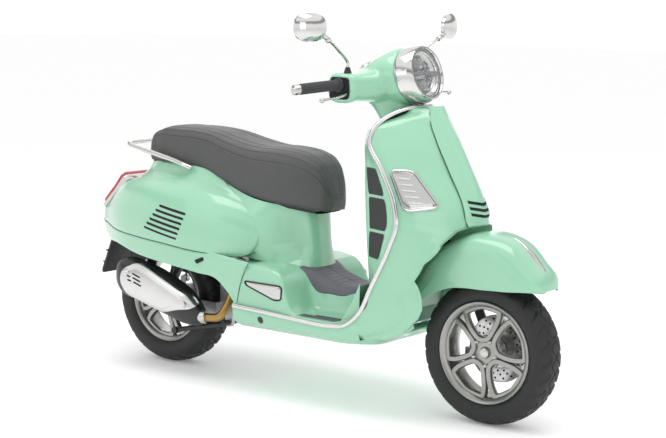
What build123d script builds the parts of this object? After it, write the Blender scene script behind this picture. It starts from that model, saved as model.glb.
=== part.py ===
from build123d import *
import os
from math import cos, radians, sin, tan

os.makedirs("parts", exist_ok=True)

# Driving dimensions, in millimetres. X runs forward, Y to the rider's left, Z up.
# Stations along X are measured in the drawing frame; the written parts are moved so that
# the origin lies on the ground under the middle of the overall length.
wheelbase = 1374
front_axle_x = 764
rear_axle_x = front_axle_x - wheelbase
rear_end_x = -942  # rear face of the tail's signals
plate_tip_x = -925  # lower edge of the number-plate holder

front_tyre_r = 236  # 120/70-12
front_tyre_w = 120
rear_tyre_r = 243  # 130/70-12
rear_tyre_w = 130
crown_w = 44  # flat running band of a tyre
bead_r = 152.4  # 12 inch rim
rim_lip_r = 165
rim_w = 92
rim_wall = 5
hub_r = 34
spoke_count = 5
spoke_w = 30
spoke_t = 14
bolt_circle_r = 42
bolt_r = 6
front_disc_r = 110
disc_t = 4
axle_r = 10

rake = 26.5  # degrees back from the vertical
fork_offset = 20
column_r = 17
head_tube_r = 30
fork_y = 78  # the single fork leg stands on the left of the wheel
fork_r = 14
link_y = 104
link_length = 110
link_t = 12
link_pin_r = 8

bar_r = 11
grip_r = 17.5
bar_centre = (318, 0, 1073)
bar_tip = (237, 372, 1052)
grip_start = 222
grip_end = 350

wing_y = 200  # half width of the headset cover
headlight_centre = (490, 0, 1107)
headlight_r = 77.5
headlight_tilt = 14.8
neck_r = 62

floor_z = 300
floor_under_z = 220
floor_half_w = 240
floor_rear_x = -119
floor_kick_z = 425  # top of the floor where it rises to the legshield
sheet = 4  # thickness of the body's sheet and mouldings

clear = 0.3  # between pieces that lie on each other
running = 0.05  # between a shaft and its bore

seat_hinge = (163, 0, 620)
engine_pivot = (-150, 0, 330)
stand_pivot = (-300, 0, 190)
stand_r = 10
side_stand_pivot = (282, 140, 200)

front_end_x = front_axle_x + front_tyre_r
centre_shift = -(front_end_x + rear_end_x) / 2


def write(label, builder):
    """Move a piece from the drawing frame to the part's own frame and write it."""
    placed = builder.part.moved(Location((centre_shift, 0, 0)))
    placed.label = label
    export_step(placed, f"parts/{label}.step")


def both_sides(half):
    """Close a half outline, listed for the left side, with its mirror image."""
    return half + [(-a if a else a, b) for a, b in reversed(half) if abs(a) > 1e-6]


def plan_outline(half):
    """The same for a plan outline given as (x, y) with the mirror across Y."""
    return half + [(a, -b) for a, b in reversed(half) if abs(b) > 1e-6]


def plan_loft(sections):
    """Solid through plan outlines, listed upward as (z, half outline of (x, y))."""
    with BuildPart() as body:
        for height, half in sections:
            with BuildSketch(Plane.XY.offset(height)):
                with BuildLine():
                    Polyline(*plan_outline(half), close=True)
                make_face()
        loft(ruled=True)
    return body.part


def station_loft(sections, sides=True):
    """Solid through cross sections, listed forward as (x, outline of (y, z))."""
    with BuildPart() as body:
        for station, outline in sections:
            full = both_sides(outline) if sides else outline
            with BuildSketch(Plane.YZ.offset(station)):
                with BuildLine():
                    Polyline(*full, close=True)
                make_face()
        loft(ruled=True)
    return body.part


def side_prism(outline, low_y, high_y):
    """Solid with a side outline of (x, z) points, between two Y planes."""
    with BuildPart() as body:
        with BuildSketch(Plane.XZ.offset(-high_y)):
            with BuildLine():
                Polyline(*outline, close=True)
            make_face()
        extrude(amount=high_y - low_y)
    return body.part


def bar(start, end, radius):
    """Round bar between two points."""
    run = Vector(*end) - Vector(*start)
    with BuildPart() as body:
        with BuildSketch(Plane(origin=start, z_dir=run)):
            Circle(radius)
        extrude(amount=run.length)
    return body.part


def tube(points, radius, bend):
    """Bent tube of constant section along straight runs joined by arcs."""
    with BuildPart() as body:
        with BuildLine() as path:
            FilletPolyline(*points, radius=bend)
        start_plane = Plane(origin=path.line @ 0, z_dir=path.line % 0)
        with BuildSketch(start_plane):
            Circle(radius)
        sweep(path=path.line)
    return body.part


def block(low, high):
    """Box between two corners."""
    size = [high[i] - low[i] for i in range(3)]
    middle = [(high[i] + low[i]) / 2 for i in range(3)]
    with BuildPart() as body:
        with Locations(tuple(middle)):
            Box(*size)
    return body.part


def steer_point(height):
    """Point of the steering axis at a height."""
    foot_x = front_axle_x - fork_offset
    return (foot_x - (height - front_tyre_r) * tan(radians(rake)), 0, height)


def steer_bar(low, high, radius):
    """Cylinder about the steering axis between two heights."""
    return bar(steer_point(low), steer_point(high), radius)


def mirrored(part):
    """The piece of the other side."""
    return mirror(part, about=Plane.XZ)


# Wheels -------------------------------------------------------------------------------

def make_tyre(axle_x, radius, width):
    """Tyre with a flat running band, round shoulders and beads on the rim."""
    half = width / 2
    inner = bead_r + clear
    section = [
        (rim_w / 2 - 10, inner),
        (rim_w / 2 - 10, rim_lip_r + 3),
        (half, radius - 42),
        (half - 3, radius - 28),
        (half - 16, radius - 11),
        (crown_w / 2, radius),
    ]
    full = section + [(-y, r) for y, r in reversed(section)]
    with BuildPart() as tyre:
        with BuildSketch(Plane.YZ):
            with BuildLine():
                Polyline(*full, close=True)
            make_face()
        revolve(axis=Axis.Y)
    return tyre.part.moved(Location((axle_x, 0, radius)))


def make_rim(axle_x, height):
    """Rim with a dished barrel, a hub and five broad spokes on the right side."""
    half = rim_w / 2
    barrel = [
        (-half, rim_lip_r),
        (-half, bead_r - rim_wall),
        (half, bead_r - rim_wall),
        (half, rim_lip_r),
        (half - 9, rim_lip_r),
        (half - 9, bead_r),
        (9 - half, bead_r),
        (9 - half, rim_lip_r),
    ]
    with BuildPart() as rim:
        with BuildSketch(Plane.YZ):
            with BuildLine():
                Polyline(*barrel, close=True)
            make_face()
        revolve(axis=Axis.Y)
        with BuildSketch(Plane.XZ.offset(-half + 4)):
            Circle(hub_r)
        extrude(amount=rim_w - 8)
        with BuildSketch(Plane.XZ.offset(half - spoke_t - 3)):
            Circle(bolt_circle_r + 14)
            with PolarLocations(0, spoke_count, start_angle=90):
                with Locations((0, 0)):
                    Rectangle(bead_r - 2, spoke_w, align=(Align.MIN, Align.CENTER))
        extrude(amount=spoke_t)
        with BuildSketch(Plane.XZ.offset(-half)):
            Circle(axle_r + running)
        extrude(amount=rim_w, mode=Mode.SUBTRACT)
    return rim.part.moved(Location((axle_x, 0, height)))


def make_bolts(axle_x, height, bore):
    """Five wheel bolts and the centre cap, on the right side of the rim."""
    seat = rim_w / 2 - 3 + clear
    with BuildPart() as bolts:
        with BuildSketch(Plane.XZ.offset(seat)):
            with PolarLocations(bolt_circle_r, spoke_count, start_angle=54):
                Circle(bolt_r)
        extrude(amount=6)
        with BuildSketch(Plane.XZ.offset(seat)):
            Circle(17)
            if bore:
                Circle(bore, mode=Mode.SUBTRACT)
        extrude(amount=7)
    return bolts.part.moved(Location((axle_x, 0, height)))


with BuildPart() as front_tyre:
    add(make_tyre(front_axle_x, front_tyre_r, front_tyre_w))
with BuildPart() as front_rim:
    add(make_rim(front_axle_x, front_tyre_r))
with BuildPart() as front_wheel_bolts:
    add(make_bolts(front_axle_x, front_tyre_r, 0))
with BuildPart() as rear_tyre:
    add(make_tyre(rear_axle_x, rear_tyre_r, rear_tyre_w))
with BuildPart() as rear_rim:
    add(make_rim(rear_axle_x, rear_tyre_r))
with BuildPart() as rear_wheel_bolts:
    add(make_bolts(rear_axle_x, rear_tyre_r, axle_r + 0.6))

disc_y = rim_w / 2 - 4 + clear
with BuildPart() as front_disc:
    with BuildSketch(Plane.XZ.offset(-disc_y)) as disc_face:
        with Locations((front_axle_x, front_tyre_r)):
            Circle(front_disc_r)
            Circle(axle_r + 2, mode=Mode.SUBTRACT)
            with PolarLocations(front_disc_r - 22, 10):
                Circle(7, mode=Mode.SUBTRACT)
    extrude(amount=-disc_t)

# Front suspension ---------------------------------------------------------------------

link_pivot = (front_axle_x + link_length, fork_y, front_tyre_r + 10)
damper_low = (front_axle_x - 64, fork_y + 2, front_tyre_r + 22)
damper_high = (front_axle_x - 152, fork_y + 2, 455)
damper_run = Vector(*damper_high) - Vector(*damper_low)
damper_dir = damper_run.normalized()


def along(start, direction, distance):
    """Point at a distance from a start point."""
    return tuple(Vector(*start) + direction * distance)


link_inner = link_y - link_t / 2
axle_start = (front_axle_x, -rim_w / 2 + 6, front_tyre_r)
axle_end = (front_axle_x, link_inner + 2, front_tyre_r)
pin_start = (link_pivot[0], fork_y - fork_r, link_pivot[2])
pin_end = (link_pivot[0], link_inner + 2, link_pivot[2])
eye_start = (damper_low[0], fork_y - 8, damper_low[2])
eye_end = (damper_low[0], link_inner + 2, damper_low[2])
link_axle = bar(axle_start, axle_end, axle_r)
link_pin = bar(pin_start, pin_end, link_pin_r)
link_eye_pin = bar(eye_start, eye_end, 6)
caliper_x = front_axle_x - 94
caliper_z = front_tyre_r - 34
caliper_half = 25
caliper = block(
    (caliper_x - caliper_half, disc_y - 12, caliper_z - caliper_half),
    (caliper_x + caliper_half, disc_y + disc_t + 10, caliper_z + caliper_half),
)
caliper_slot = bar(
    (front_axle_x, disc_y - 1.5, front_tyre_r),
    (front_axle_x, disc_y + disc_t + 1.5, front_tyre_r),
    front_disc_r + 3,
)
caliper_arm = block(
    (caliper_x - 10, disc_y + disc_t + 8, caliper_z - 12), (caliper_x + 10, link_inner + 2, caliper_z + 12)
)
with BuildPart() as front_link:
    with BuildSketch(Plane.XZ.offset(-link_inner - link_t)):
        with BuildLine():
            Polyline(
                (link_pivot[0] + 14, link_pivot[2] - 12),
                (link_pivot[0] + 14, link_pivot[2] + 12),
                (link_pivot[0] - 4, link_pivot[2] + 18),
                (front_axle_x, front_tyre_r + 26),
                (damper_low[0] + 10, damper_low[2] + 14),
                (damper_low[0] - 12, damper_low[2] + 6),
                (caliper_x - 16, caliper_z + 8),
                (caliper_x - 12, caliper_z - 18),
                (front_axle_x, front_tyre_r - 26),
                (link_pivot[0] - 4, link_pivot[2] - 20),
                close=True,
            )
        make_face()
    extrude(amount=link_t)
    add(link_axle)
    add(link_pin)
    add(link_eye_pin)
    add(caliper - caliper_slot)
    add(caliper_arm)

lower_part = 118  # length of the front rod from the centre of its eye
rod_r = 6
eye_r = 13
rod_start = along(damper_low, damper_dir, eye_r - 2)
rod_end = along(damper_low, damper_dir, lower_part)
body_start = along(damper_low, damper_dir, 70)
body_end = along(damper_high, damper_dir, -eye_r + 2)


def eye(centre, width, radius, bore):
    """Ring across the vehicle, the bearing eye of a damper."""
    low = (centre[0], centre[1] - width / 2, centre[2])
    high = (centre[0], centre[1] + width / 2, centre[2])
    return bar(low, high, radius), bar(low, high, bore)


low_eye, low_bore = eye(damper_low, 14, eye_r, 6 + 1.5)
high_eye, high_bore = eye(damper_high, 14, eye_r - 1, 6 + running)
rod_bar = bar(rod_start, rod_end, rod_r)
with BuildPart() as front_damper_rod:
    add(rod_bar)
    add(low_eye)
    add(low_bore, mode=Mode.SUBTRACT)

damper_tube = bar(body_start, body_end, 11)
damper_hollow = bar(body_start, along(body_start, damper_dir, 95), rod_r + running)
damper_cap = bar(along(body_end, damper_dir, -8), body_end, 14)
with BuildPart() as front_damper_body:
    add(damper_tube)
    add(damper_cap)
    add(high_eye)
    add(damper_hollow, mode=Mode.SUBTRACT)
    add(high_bore, mode=Mode.SUBTRACT)

spring_start = along(damper_low, damper_dir, 24)
spring_end = along(body_end, damper_dir, -8 - clear)
spring_outer = bar(spring_start, spring_end, 16)
spring_inner = bar(spring_start, spring_end, 12)
with BuildPart() as front_spring:
    add(spring_outer)
    add(spring_inner, mode=Mode.SUBTRACT)

# Steering column and fork leg ---------------------------------------------------------

column_low = 535
column_straight = steer_bar(column_low - 4, bar_centre[2] + 6, column_r)
fork_path = [steer_point(column_low), (front_axle_x - 124, fork_y, 466), link_pivot]
fork_leg = tube(fork_path, fork_r + 1, 24)
fork_knuckle_ball = bar(
    (link_pivot[0], fork_y - fork_r - 1, link_pivot[2]),
    (link_pivot[0], fork_y + fork_r - 1, link_pivot[2]),
    fork_r + 4,
)
fork_pin_bore = bar(
    (link_pivot[0], fork_y - 30, link_pivot[2]),
    (link_pivot[0], fork_y + 30, link_pivot[2]),
    link_pin_r + running,
)
bracket_reach = 26
upper_bracket = tube(
    [
        (steer_point(545)[0], 0, 545),
        (damper_high[0] - 4, 24, 500),
        (damper_high[0], damper_high[1] - bracket_reach, damper_high[2] + 4),
    ],
    9,
    12,
)
upper_pin = bar(
    (damper_high[0], damper_high[1] - bracket_reach - 6, damper_high[2]),
    (damper_high[0], damper_high[1] + 8, damper_high[2]),
    6,
)
with BuildPart() as steering_column:
    add(column_straight)
    add(fork_leg)
    add(upper_bracket)
    add(upper_pin)
    add(fork_knuckle_ball)
    add(fork_pin_bore, mode=Mode.SUBTRACT)

head_low = 585
head_high = 905
collar = 24
head_shell = steer_bar(head_low, head_high, head_tube_r)
head_cavity = steer_bar(head_low + collar, head_high - collar, head_tube_r - 4)
head_bore = steer_bar(head_low - 5, head_high + 5, column_r + running)
with BuildPart() as head_tube:
    add(head_shell)
    add(head_cavity, mode=Mode.SUBTRACT)
    add(head_bore, mode=Mode.SUBTRACT)

# Front mudguard -----------------------------------------------------------------------

# Rows: angle about the front axle from straight ahead, radius of the lower edge,
# radius of the crest, half width.
fender_rows = [
    (46, 296, 312, 50),
    (52, 276, 327, 80),
    (62, 243, 342, 93),
    (75, 220, 371, 98),
    (89, 210, 384, 98),
    (102, 214, 380, 98),
    (116, 226, 368, 98),
    (130, 240, 345, 98),
    (144, 256, 316, 96),
    (158, 268, 288, 88),
]


def fender_loft(skin):
    """Fender volume, drawn in by a skin thickness."""
    axle = (front_axle_x, 0, front_tyre_r)
    with BuildPart() as body:
        for angle, low, crest, half in fender_rows:
            out = Vector(cos(radians(angle)), 0, sin(radians(angle)))
            along_rim = Vector(-out.Z, 0, out.X)
            plane = Plane(origin=axle, x_dir=(0, 1, 0), z_dir=along_rim)
            side = 1 if plane.y_dir.dot(out) > 0 else -1
            w = half - skin
            top = crest - skin
            bottom = low - (2 if skin else 0)
            shoulder = min(0.45 * (crest - low), 42)
            outline = [
                (w, bottom),
                (w, top - shoulder),
                (0.8 * w, top - 0.42 * shoulder),
                (0.42 * w, top - 0.1 * shoulder),
                (0, top),
            ]
            with BuildSketch(plane):
                with BuildLine():
                    points = [(y, side * r) for y, r in both_sides(outline)]
                    Polyline(*points, close=True)
                make_face()
        loft(ruled=True)
    return body.part


fender_outer = fender_loft(0)
fender_inner = fender_loft(sheet)
fender_column_hole = steer_bar(520, 620, column_r + clear)
fender_leg_notch = block((front_axle_x - 190, 50, 380), (front_axle_x - 10, 120, 503))
with BuildPart() as front_fender:
    add(fender_outer)
    add(fender_inner, mode=Mode.SUBTRACT)
    add(fender_column_hole, mode=Mode.SUBTRACT)
    add(fender_leg_notch, mode=Mode.SUBTRACT)

# Legshield ----------------------------------------------------------------------------

# Rows: height, half plan outline from the middle of the nose back to the trim.
shield_rows = [
    (247, [(441, 0), (441, 150), (400, 185), (330, 212), (300, 214)]),
    (288, [(565, 0), (559, 160), (500, 200), (400, 226), (335, 238)]),
    (336, [(625, 0), (615, 160), (560, 200), (480, 222), (403, 234)]),
    (432, [(645, 0), (625, 160), (555, 203), (500, 218), (452, 228)]),
    (570, [(700, 0), (665, 130), (615, 178), (565, 210), (518, 225)]),
    (638, [(706, 0), (690, 75), (640, 145), (585, 198), (537, 220)]),
    (698, [(700, 0), (678, 60), (630, 128), (570, 190), (525, 214)]),
    (806, [(640, 0), (618, 60), (565, 125), (510, 180), (470, 206)]),
    (900, [(590, 0), (568, 60), (515, 120), (450, 168), (406, 188)]),
    (940, [(570, 0), (545, 60), (490, 110), (440, 145), (408, 160)]),
    (993, [(538, 0), (527, 32), (507, 50), (486, 60), (467, 65)]),
]


def drawn_in(half, skin):
    """A half outline moved inwards by the skin, with its rear edge left open."""
    inner = [(x - skin, max(y - (skin if y else 0), 0)) for x, y in half]
    tail_x, tail_y = inner[-1]
    return inner[:-1] + [(tail_x + skin - 12, tail_y)]


shield_outer = plan_loft(shield_rows)
shield_inner = plan_loft(
    [(z - (4 if z == 247 else 0), drawn_in(half, sheet + 2)) for z, half in shield_rows]
)
arch_rows = [(203, 200), (203, 402), (182, 520), (142, 585), (102, 622), (60, 632)]
with BuildPart() as arch:
    with BuildSketch(Plane.YZ.offset(380)):
        with BuildLine():
            Polyline(*both_sides([(0, 200)] + arch_rows + [(0, 634)]), close=True)
        make_face()
    extrude(amount=500)
with BuildPart() as legshield:
    add(shield_outer)
    add(shield_inner, mode=Mode.SUBTRACT)
    add(arch.part, mode=Mode.SUBTRACT)

tie_rows = [
    (632, [(722, 0), (722, 20), (708, 58), (706, 59)]),
    (675, [(726, 0), (724, 22), (696, 62), (694, 63)]),
    (698, [(718, 0), (714, 22), (687, 60), (685, 61)]),
    (806, [(664, 0), (657, 24), (630, 60), (628, 61)]),
    (900, [(612, 0), (604, 24), (578, 58), (576, 59)]),
    (960, [(578, 0), (568, 24), (548, 50), (546, 51)]),
    (1003, [(546, 0), (544, 20), (536, 34), (534, 35)]),
]
tie_outer = plan_loft(tie_rows)
shield_gap = plan_loft([(z, [(x + clear, y + (clear if y else 0)) for x, y in half])
                        for z, half in shield_rows[4:]])
tie_slots = [
    block((680, -26, z), (760, 26, z + 7)) for z in (668, 684, 700)
]
with BuildPart() as horn_cover:
    add(tie_outer)
    add(shield_gap, mode=Mode.SUBTRACT)
    for slot in tie_slots:
        add(slot, mode=Mode.SUBTRACT)

trim_r = 5
trim_points = [
    (482, 0, 999),
    (470, 64, 996),
    (440, 112, 978),
    (410, 160, 941),
    (405, 189, 900),
    (470, 209, 806),
    (527, 217, 698),
    (539, 223, 638),
    (518, 228, 570),
    (452, 232, 432),
    (403, 237, 336),
    (328, floor_half_w + trim_r + clear, 288),
    (150, floor_half_w + trim_r + clear, 292),
    (floor_rear_x + 4, floor_half_w + trim_r + clear, 303),
]
trim_bends = [20, 60, 60, 60, 90, 120, 90, 90, 200, 200, 60, 300]
trim_half = tube(trim_points[1:], trim_r, trim_bends[1:])
trim_end = (trim_points[1][0], -trim_points[1][1], trim_points[1][2])
trim_top = tube([trim_points[1], trim_points[0], trim_end], trim_r, 30)
with BuildPart() as shield_trim:
    add(trim_half)
    add(mirrored(trim_half))
    add(trim_top)

# Inner legshield with the glove box -----------------------------------------------------

well_r = 203  # room for the mudguard about the steering axis
steering_well = bar(steer_point(120), steer_point(568), well_r)
inner_rows = [
    (floor_kick_z + clear, [(440, 0), (440, 200), (430, 214), (384, 150), (384, 0)]),
    (570, [(505, 0), (505, 196), (495, 212), (372, 158), (372, 0)]),
    (638, [(524, 0), (524, 190), (514, 208), (366, 158), (366, 0)]),
    (700, [(512, 0), (512, 184), (502, 202), (361, 155), (361, 0)]),
    (806, [(457, 0), (457, 180), (447, 194), (356, 150), (356, 0)]),
    (900, [(394, 0), (394, 164), (386, 178), (352, 138), (352, 0)]),
    (924, [(392, 0), (392, 150), (386, 164), (354, 128), (354, 0)]),
]


def inner_outline(half):
    """Close an inner legshield row, listed from the front middle to the rear middle."""
    return half[:-1] + [(x, -y) for x, y in reversed(half[1:-1])]


with BuildPart() as inner_solid:
    for height, half in inner_rows:
        with BuildSketch(Plane.XY.offset(height)):
            with BuildLine():
                Polyline(*inner_outline(half[1:-1] + [half[-1]]), close=True)
            make_face()
    loft(ruled=True)
glove_low = 650
glove_high = 850
glove_half_w = 108
glove_depth_x = 396
glove_box = block((320, -glove_half_w, glove_low), (glove_depth_x, glove_half_w, glove_high))
rear_hollow = block((410, -170, 440), (560, 170, 880))
head_groove = steer_bar(head_low - 60, 1000, head_tube_r + clear)
with BuildPart() as inner_legshield:
    add(inner_solid.part)
    add(glove_box, mode=Mode.SUBTRACT)
    add(head_groove, mode=Mode.SUBTRACT)
    add(steering_well, mode=Mode.SUBTRACT)
    add(rear_hollow, mode=Mode.SUBTRACT)

door_t = 6
door_gap = 0.5
door_low_x = 363.5
door_high_x = 354.4
door_pin_r = door_t / 2
door_low_z = glove_low + door_gap + door_pin_r
door_high_z = glove_high - door_gap
door_side = [(door_low_x, door_low_z), (door_high_x, door_high_z),
             (door_high_x + door_t, door_high_z), (door_low_x + door_t, door_low_z)]
door_half_w = glove_half_w - door_gap
door_pin = bar((door_low_x + door_pin_r, -door_half_w, door_low_z),
               (door_low_x + door_pin_r, door_half_w, door_low_z), door_pin_r)
with BuildPart() as glove_door:
    add(side_prism(door_side, -door_half_w, door_half_w))
    add(door_pin)

# Floor --------------------------------------------------------------------------------

tunnel_half = 78
floor_side = [
    (floor_rear_x, floor_under_z),
    (330, floor_under_z),
    (445, 247),
    (470, 300),
    (445, floor_kick_z),
    (395, floor_kick_z),
    (372, 380),
    (330, floor_z),
    (floor_rear_x, floor_z + 4),
]
floor_body = side_prism(floor_side, -floor_half_w, floor_half_w)
floor_bottom_cut = [
    (floor_half_w + 2, 200),
    (floor_half_w + 2, floor_z - 18),
    (floor_half_w - 8, floor_z - 30),
    (170, floor_under_z - 1),
    (170, 200),
]
with BuildPart() as bottom_cut:
    with BuildSketch(Plane.YZ.offset(floor_rear_x - 10)):
        with BuildLine():
            Polyline(*floor_bottom_cut, close=True)
        make_face()
    extrude(amount=700)
tunnel_side = [
    (floor_rear_x, 290),
    (400, 290),
    (400, floor_kick_z),
    (345, floor_kick_z),
    (300, 404),
    (221, 392),
    (180, 402),
    (166, 430),
    (166, 455),
    (floor_rear_x, 430),
]
tunnel = side_prism(tunnel_side, -tunnel_half, tunnel_half)
under_hollow = block((floor_rear_x + 10, -tunnel_half + 8, floor_under_z + 6), (330, tunnel_half - 8, 380))
# Lower edge of the body under the seat, as (x, z).
body_low = [(-934, 500), (-850, 480), (-750, 470), (-620, 470), (-350, 468), (-200, 466),
            (floor_rear_x, 457), (-60, 450), (40, 438), (60, 435), (130, 448), (158, 452)]


def level(line, x):
    """Height of a polyline of (x, z) points at x."""
    for (x0, z0), (x1, z1) in zip(line, line[1:]):
        if x0 <= x <= x1:
            return z0 + (z1 - z0) * (x - x0) / (x1 - x0)
    raise ValueError("x is outside the line")


wall_rows = []
for x, outer in ((floor_rear_x, 234), (-60, 234), (40, 234), (100, 233), (122, 214)):
    top = min(level(body_low, x) - clear, 452 if x < 50 else 420 - 1.2 * (x - 100))
    wall_rows.append((x, [(120, 280), (outer, 280), (outer, 396), (outer - 16, top - 22),
                          (176, top), (120, top)]))
side_wall = station_loft(wall_rows, sides=False)
corner_cut = block((318, 226, 225), (480, floor_half_w + 5, 440))
peg_pocket = block((-78, floor_half_w - 28, 336), (100, floor_half_w + 4, 394))
with BuildPart() as floor_pan:
    add(floor_body)
    add(tunnel)
    add(side_wall)
    add(mirrored(side_wall))
    add(bottom_cut.part, mode=Mode.SUBTRACT)
    add(mirrored(bottom_cut.part), mode=Mode.SUBTRACT)
    add(under_hollow, mode=Mode.SUBTRACT)
    add(corner_cut, mode=Mode.SUBTRACT)
    add(mirrored(corner_cut), mode=Mode.SUBTRACT)
    add(peg_pocket, mode=Mode.SUBTRACT)
    add(mirrored(peg_pocket), mode=Mode.SUBTRACT)
    add(shield_outer, mode=Mode.SUBTRACT)
    add(steering_well, mode=Mode.SUBTRACT)


# Body under the seat --------------------------------------------------------------------

# Lower edge of the seat cushion, as (x, z) from the tail to the nose.
seat_edge = [(-1000, 756), (-600, 756), (-500, 753), (-350, 745), (-260, 715), (-140, 675),
             (-60, 659), (40, 646), (110, 634), (150, 630), (200, 626)]
base_t = 9.4


body_half = [(-934, 45), (-850, 88), (-750, 122), (-620, 150), (-350, 168), (-200, 166),
             (-60, 150), (60, 118), (130, 80), (158, 45)]
body_stations = [-934, -850, -750, -660, -620, -600, -500, -350, -260, -200, -140, -60, 40, 60,
                 110, 130, 158]
tail_line = [(-940, 524), (-934, 530), (-850, 610), (-750, 700), (-660, 736)]


def body_top(x):
    """Top of the body: the tail's slope, then the seat's edge less its base."""
    if x <= -660:
        return level(tail_line, x)
    return level(seat_edge, x) - base_t - clear


def body_loft(grow, low=0, high=0, first=-1000, last=1000):
    """The body's volume, grown sideways, with its bottom and top moved."""
    rows = []
    for x in body_stations:
        if first <= x <= last:
            w = level(body_half, x) + grow
            z0 = level(body_low, x) - low
            z1 = body_top(x) + high
            middle = (z0 + z1) / 2
            rows.append((x, [(0, z0), (0.96 * w, z0), (w, middle), (0.93 * w, z1), (0, z1)]))
    return station_loft(rows)


body_outer = body_loft(0)
body_room = body_loft(-sheet - 1, low=30, high=30, first=-620, last=130)
tail_room = body_loft(-sheet - 1, low=30, high=-7, first=-850, last=-620)
knee_round = bar((238, -200, 530), (238, 200, 530), 120)
ear_side = [(128, 594), (150, 600), (171, 613), (171, 627), (160, 627), (155, 613), (128, 604)]
hinge_ear = side_prism(ear_side, 20, 27)
hinge_pin_r = 4
hinge_low = (seat_hinge[0], -27, seat_hinge[2])
hinge_high = (seat_hinge[0], 27, seat_hinge[2])
seat_pin = bar(hinge_low, hinge_high, hinge_pin_r)
hinge_barrel_r = 7.5
hinge_room = bar((seat_hinge[0], -20, seat_hinge[2]), (seat_hinge[0], 20, seat_hinge[2]),
                 hinge_barrel_r + 1)
rear_upper = (-610, 98, 560)
rear_lower = (-650, 98, 290)
rear_pin = bar((rear_upper[0], 88, rear_upper[2]), (rear_upper[0], 149, rear_upper[2]), 8)
with BuildPart() as main_body:
    add(body_outer)
    add(body_room, mode=Mode.SUBTRACT)
    add(tail_room, mode=Mode.SUBTRACT)
    add(knee_round, mode=Mode.SUBTRACT)
    add(tunnel, mode=Mode.SUBTRACT)
    add(hinge_room, mode=Mode.SUBTRACT)
    add(hinge_ear)
    add(mirrored(hinge_ear))
    add(seat_pin)
    add(rear_pin)
    add(mirrored(rear_pin))

def room_half(x, z):
    """Half width between the body's walls at a station and a height above its middle."""
    low = level(body_low, x) - 30
    high = body_top(x) + 30
    share = (z - (low + high) / 2) / ((high - low) / 2)
    return (level(body_half, x) - sheet - 1) * (1 - 0.07 * share)


tub_rows = []
tub_inner_rows = []
for x in (-350, -260, -200, -140, -60, -24):
    top = body_top(x) - 4
    w = room_half(x, top) - 0.5
    tub_rows.append((x, [(0, 490), (w - 6, 490), (w, 510), (w, top), (0, top)]))
    inner_x = max(x, -346) if x < -24 else -28
    w = w - sheet
    tub_inner_rows.append((inner_x, [(0, 494), (w - 8, 494), (w, 514), (w, top + 20), (0, top + 20)]))
tub_outer = station_loft(tub_rows)
tub_inner = station_loft(tub_inner_rows)
with BuildPart() as storage_tub:
    add(tub_outer)
    add(tub_inner, mode=Mode.SUBTRACT)

# Side cowls and the skirt below them ----------------------------------------------------

cowl_rows = [  # station, bottom, top, half width
    (-872, 500, 586, 90),
    (-750, 492, 664, 165),
    (-600, 488, 700, 215),
    (-450, 482, 702, 240),
    (-300, 470, 690, 239),
    (-200, 466, 668, 224),
    (-120, 466, 632, 192),
    (-84, 480, 600, 158),
]


def cowl_loft(skin):
    """Volume of the left cowl, drawn in by the skin."""
    rows = []
    for x, bottom, top, half in cowl_rows:
        w = half - skin
        z0 = bottom + skin
        z1 = top - skin
        tall = z1 - z0
        station = x + (skin if x == cowl_rows[0][0] else 0) - (skin if x == -84 else 0)
        outline = [
            (40, z0),
            (0.97 * w, z0),
            (w, z0 + 0.3 * tall),
            (0.98 * w, z0 + 0.55 * tall),
            (0.9 * w, z0 + 0.8 * tall),
            (0.72 * w, z1),
            (40, z1),
        ]
        rows.append((station, outline))
    return station_loft(rows, sides=False)


body_seat = body_loft(clear, low=60, high=60)
cowl_outer = cowl_loft(0)
cowl_inner = cowl_loft(sheet)
with BuildPart() as left_cowl:
    add(cowl_outer)
    add(cowl_inner, mode=Mode.SUBTRACT)
    add(body_seat, mode=Mode.SUBTRACT)
with BuildPart() as right_cowl:
    add(mirrored(left_cowl.part))

skirt_rows = [  # station, bottom, top, half width
    (-936, 470, 496, 52),
    (-872, 445, 499.7, 90),
    (-750, 440, 491.7, 165),
    (-600, 420, 487.7, 215),
    (-450, 408, 481.7, 240),
    (-300, 392, 469.7, 239),
    (-200, 376, 465.7, 236),
    (-150, 336, 461, 234),
    (-121, 340, 455, 232),
]


def skirt_loft(skin):
    """Volume inside the skirt, drawn in by the skin and open above and below."""
    rows = []
    for x, bottom, top, half in skirt_rows:
        w = half - skin
        z0 = bottom - (20 if skin else 0)
        z1 = top + (20 if skin else 0)
        station = x + (skin if x == skirt_rows[0][0] else 0) + (5 if skin and x == -121 else 0)
        rows.append((station, [(0, z0), (0.97 * w, z0), (w, z1), (0, z1)]))
    return station_loft(rows)


skirt_outer = skirt_loft(0)
skirt_inner = skirt_loft(sheet)
with BuildPart() as lower_skirt:
    add(skirt_outer)
    add(skirt_inner, mode=Mode.SUBTRACT)

# Lights, rail and plate holder ----------------------------------------------------------

lamp_side = [(-792, 655), (-850, 603), (-900, 556), (-911, 568), (-863, 624), (-802, 676)]
lamp_block = side_prism(lamp_side, -52, 52)
with BuildPart() as tail_light:
    add(lamp_block)
    add(body_loft(clear, high=clear + 0.2), mode=Mode.SUBTRACT)

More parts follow.
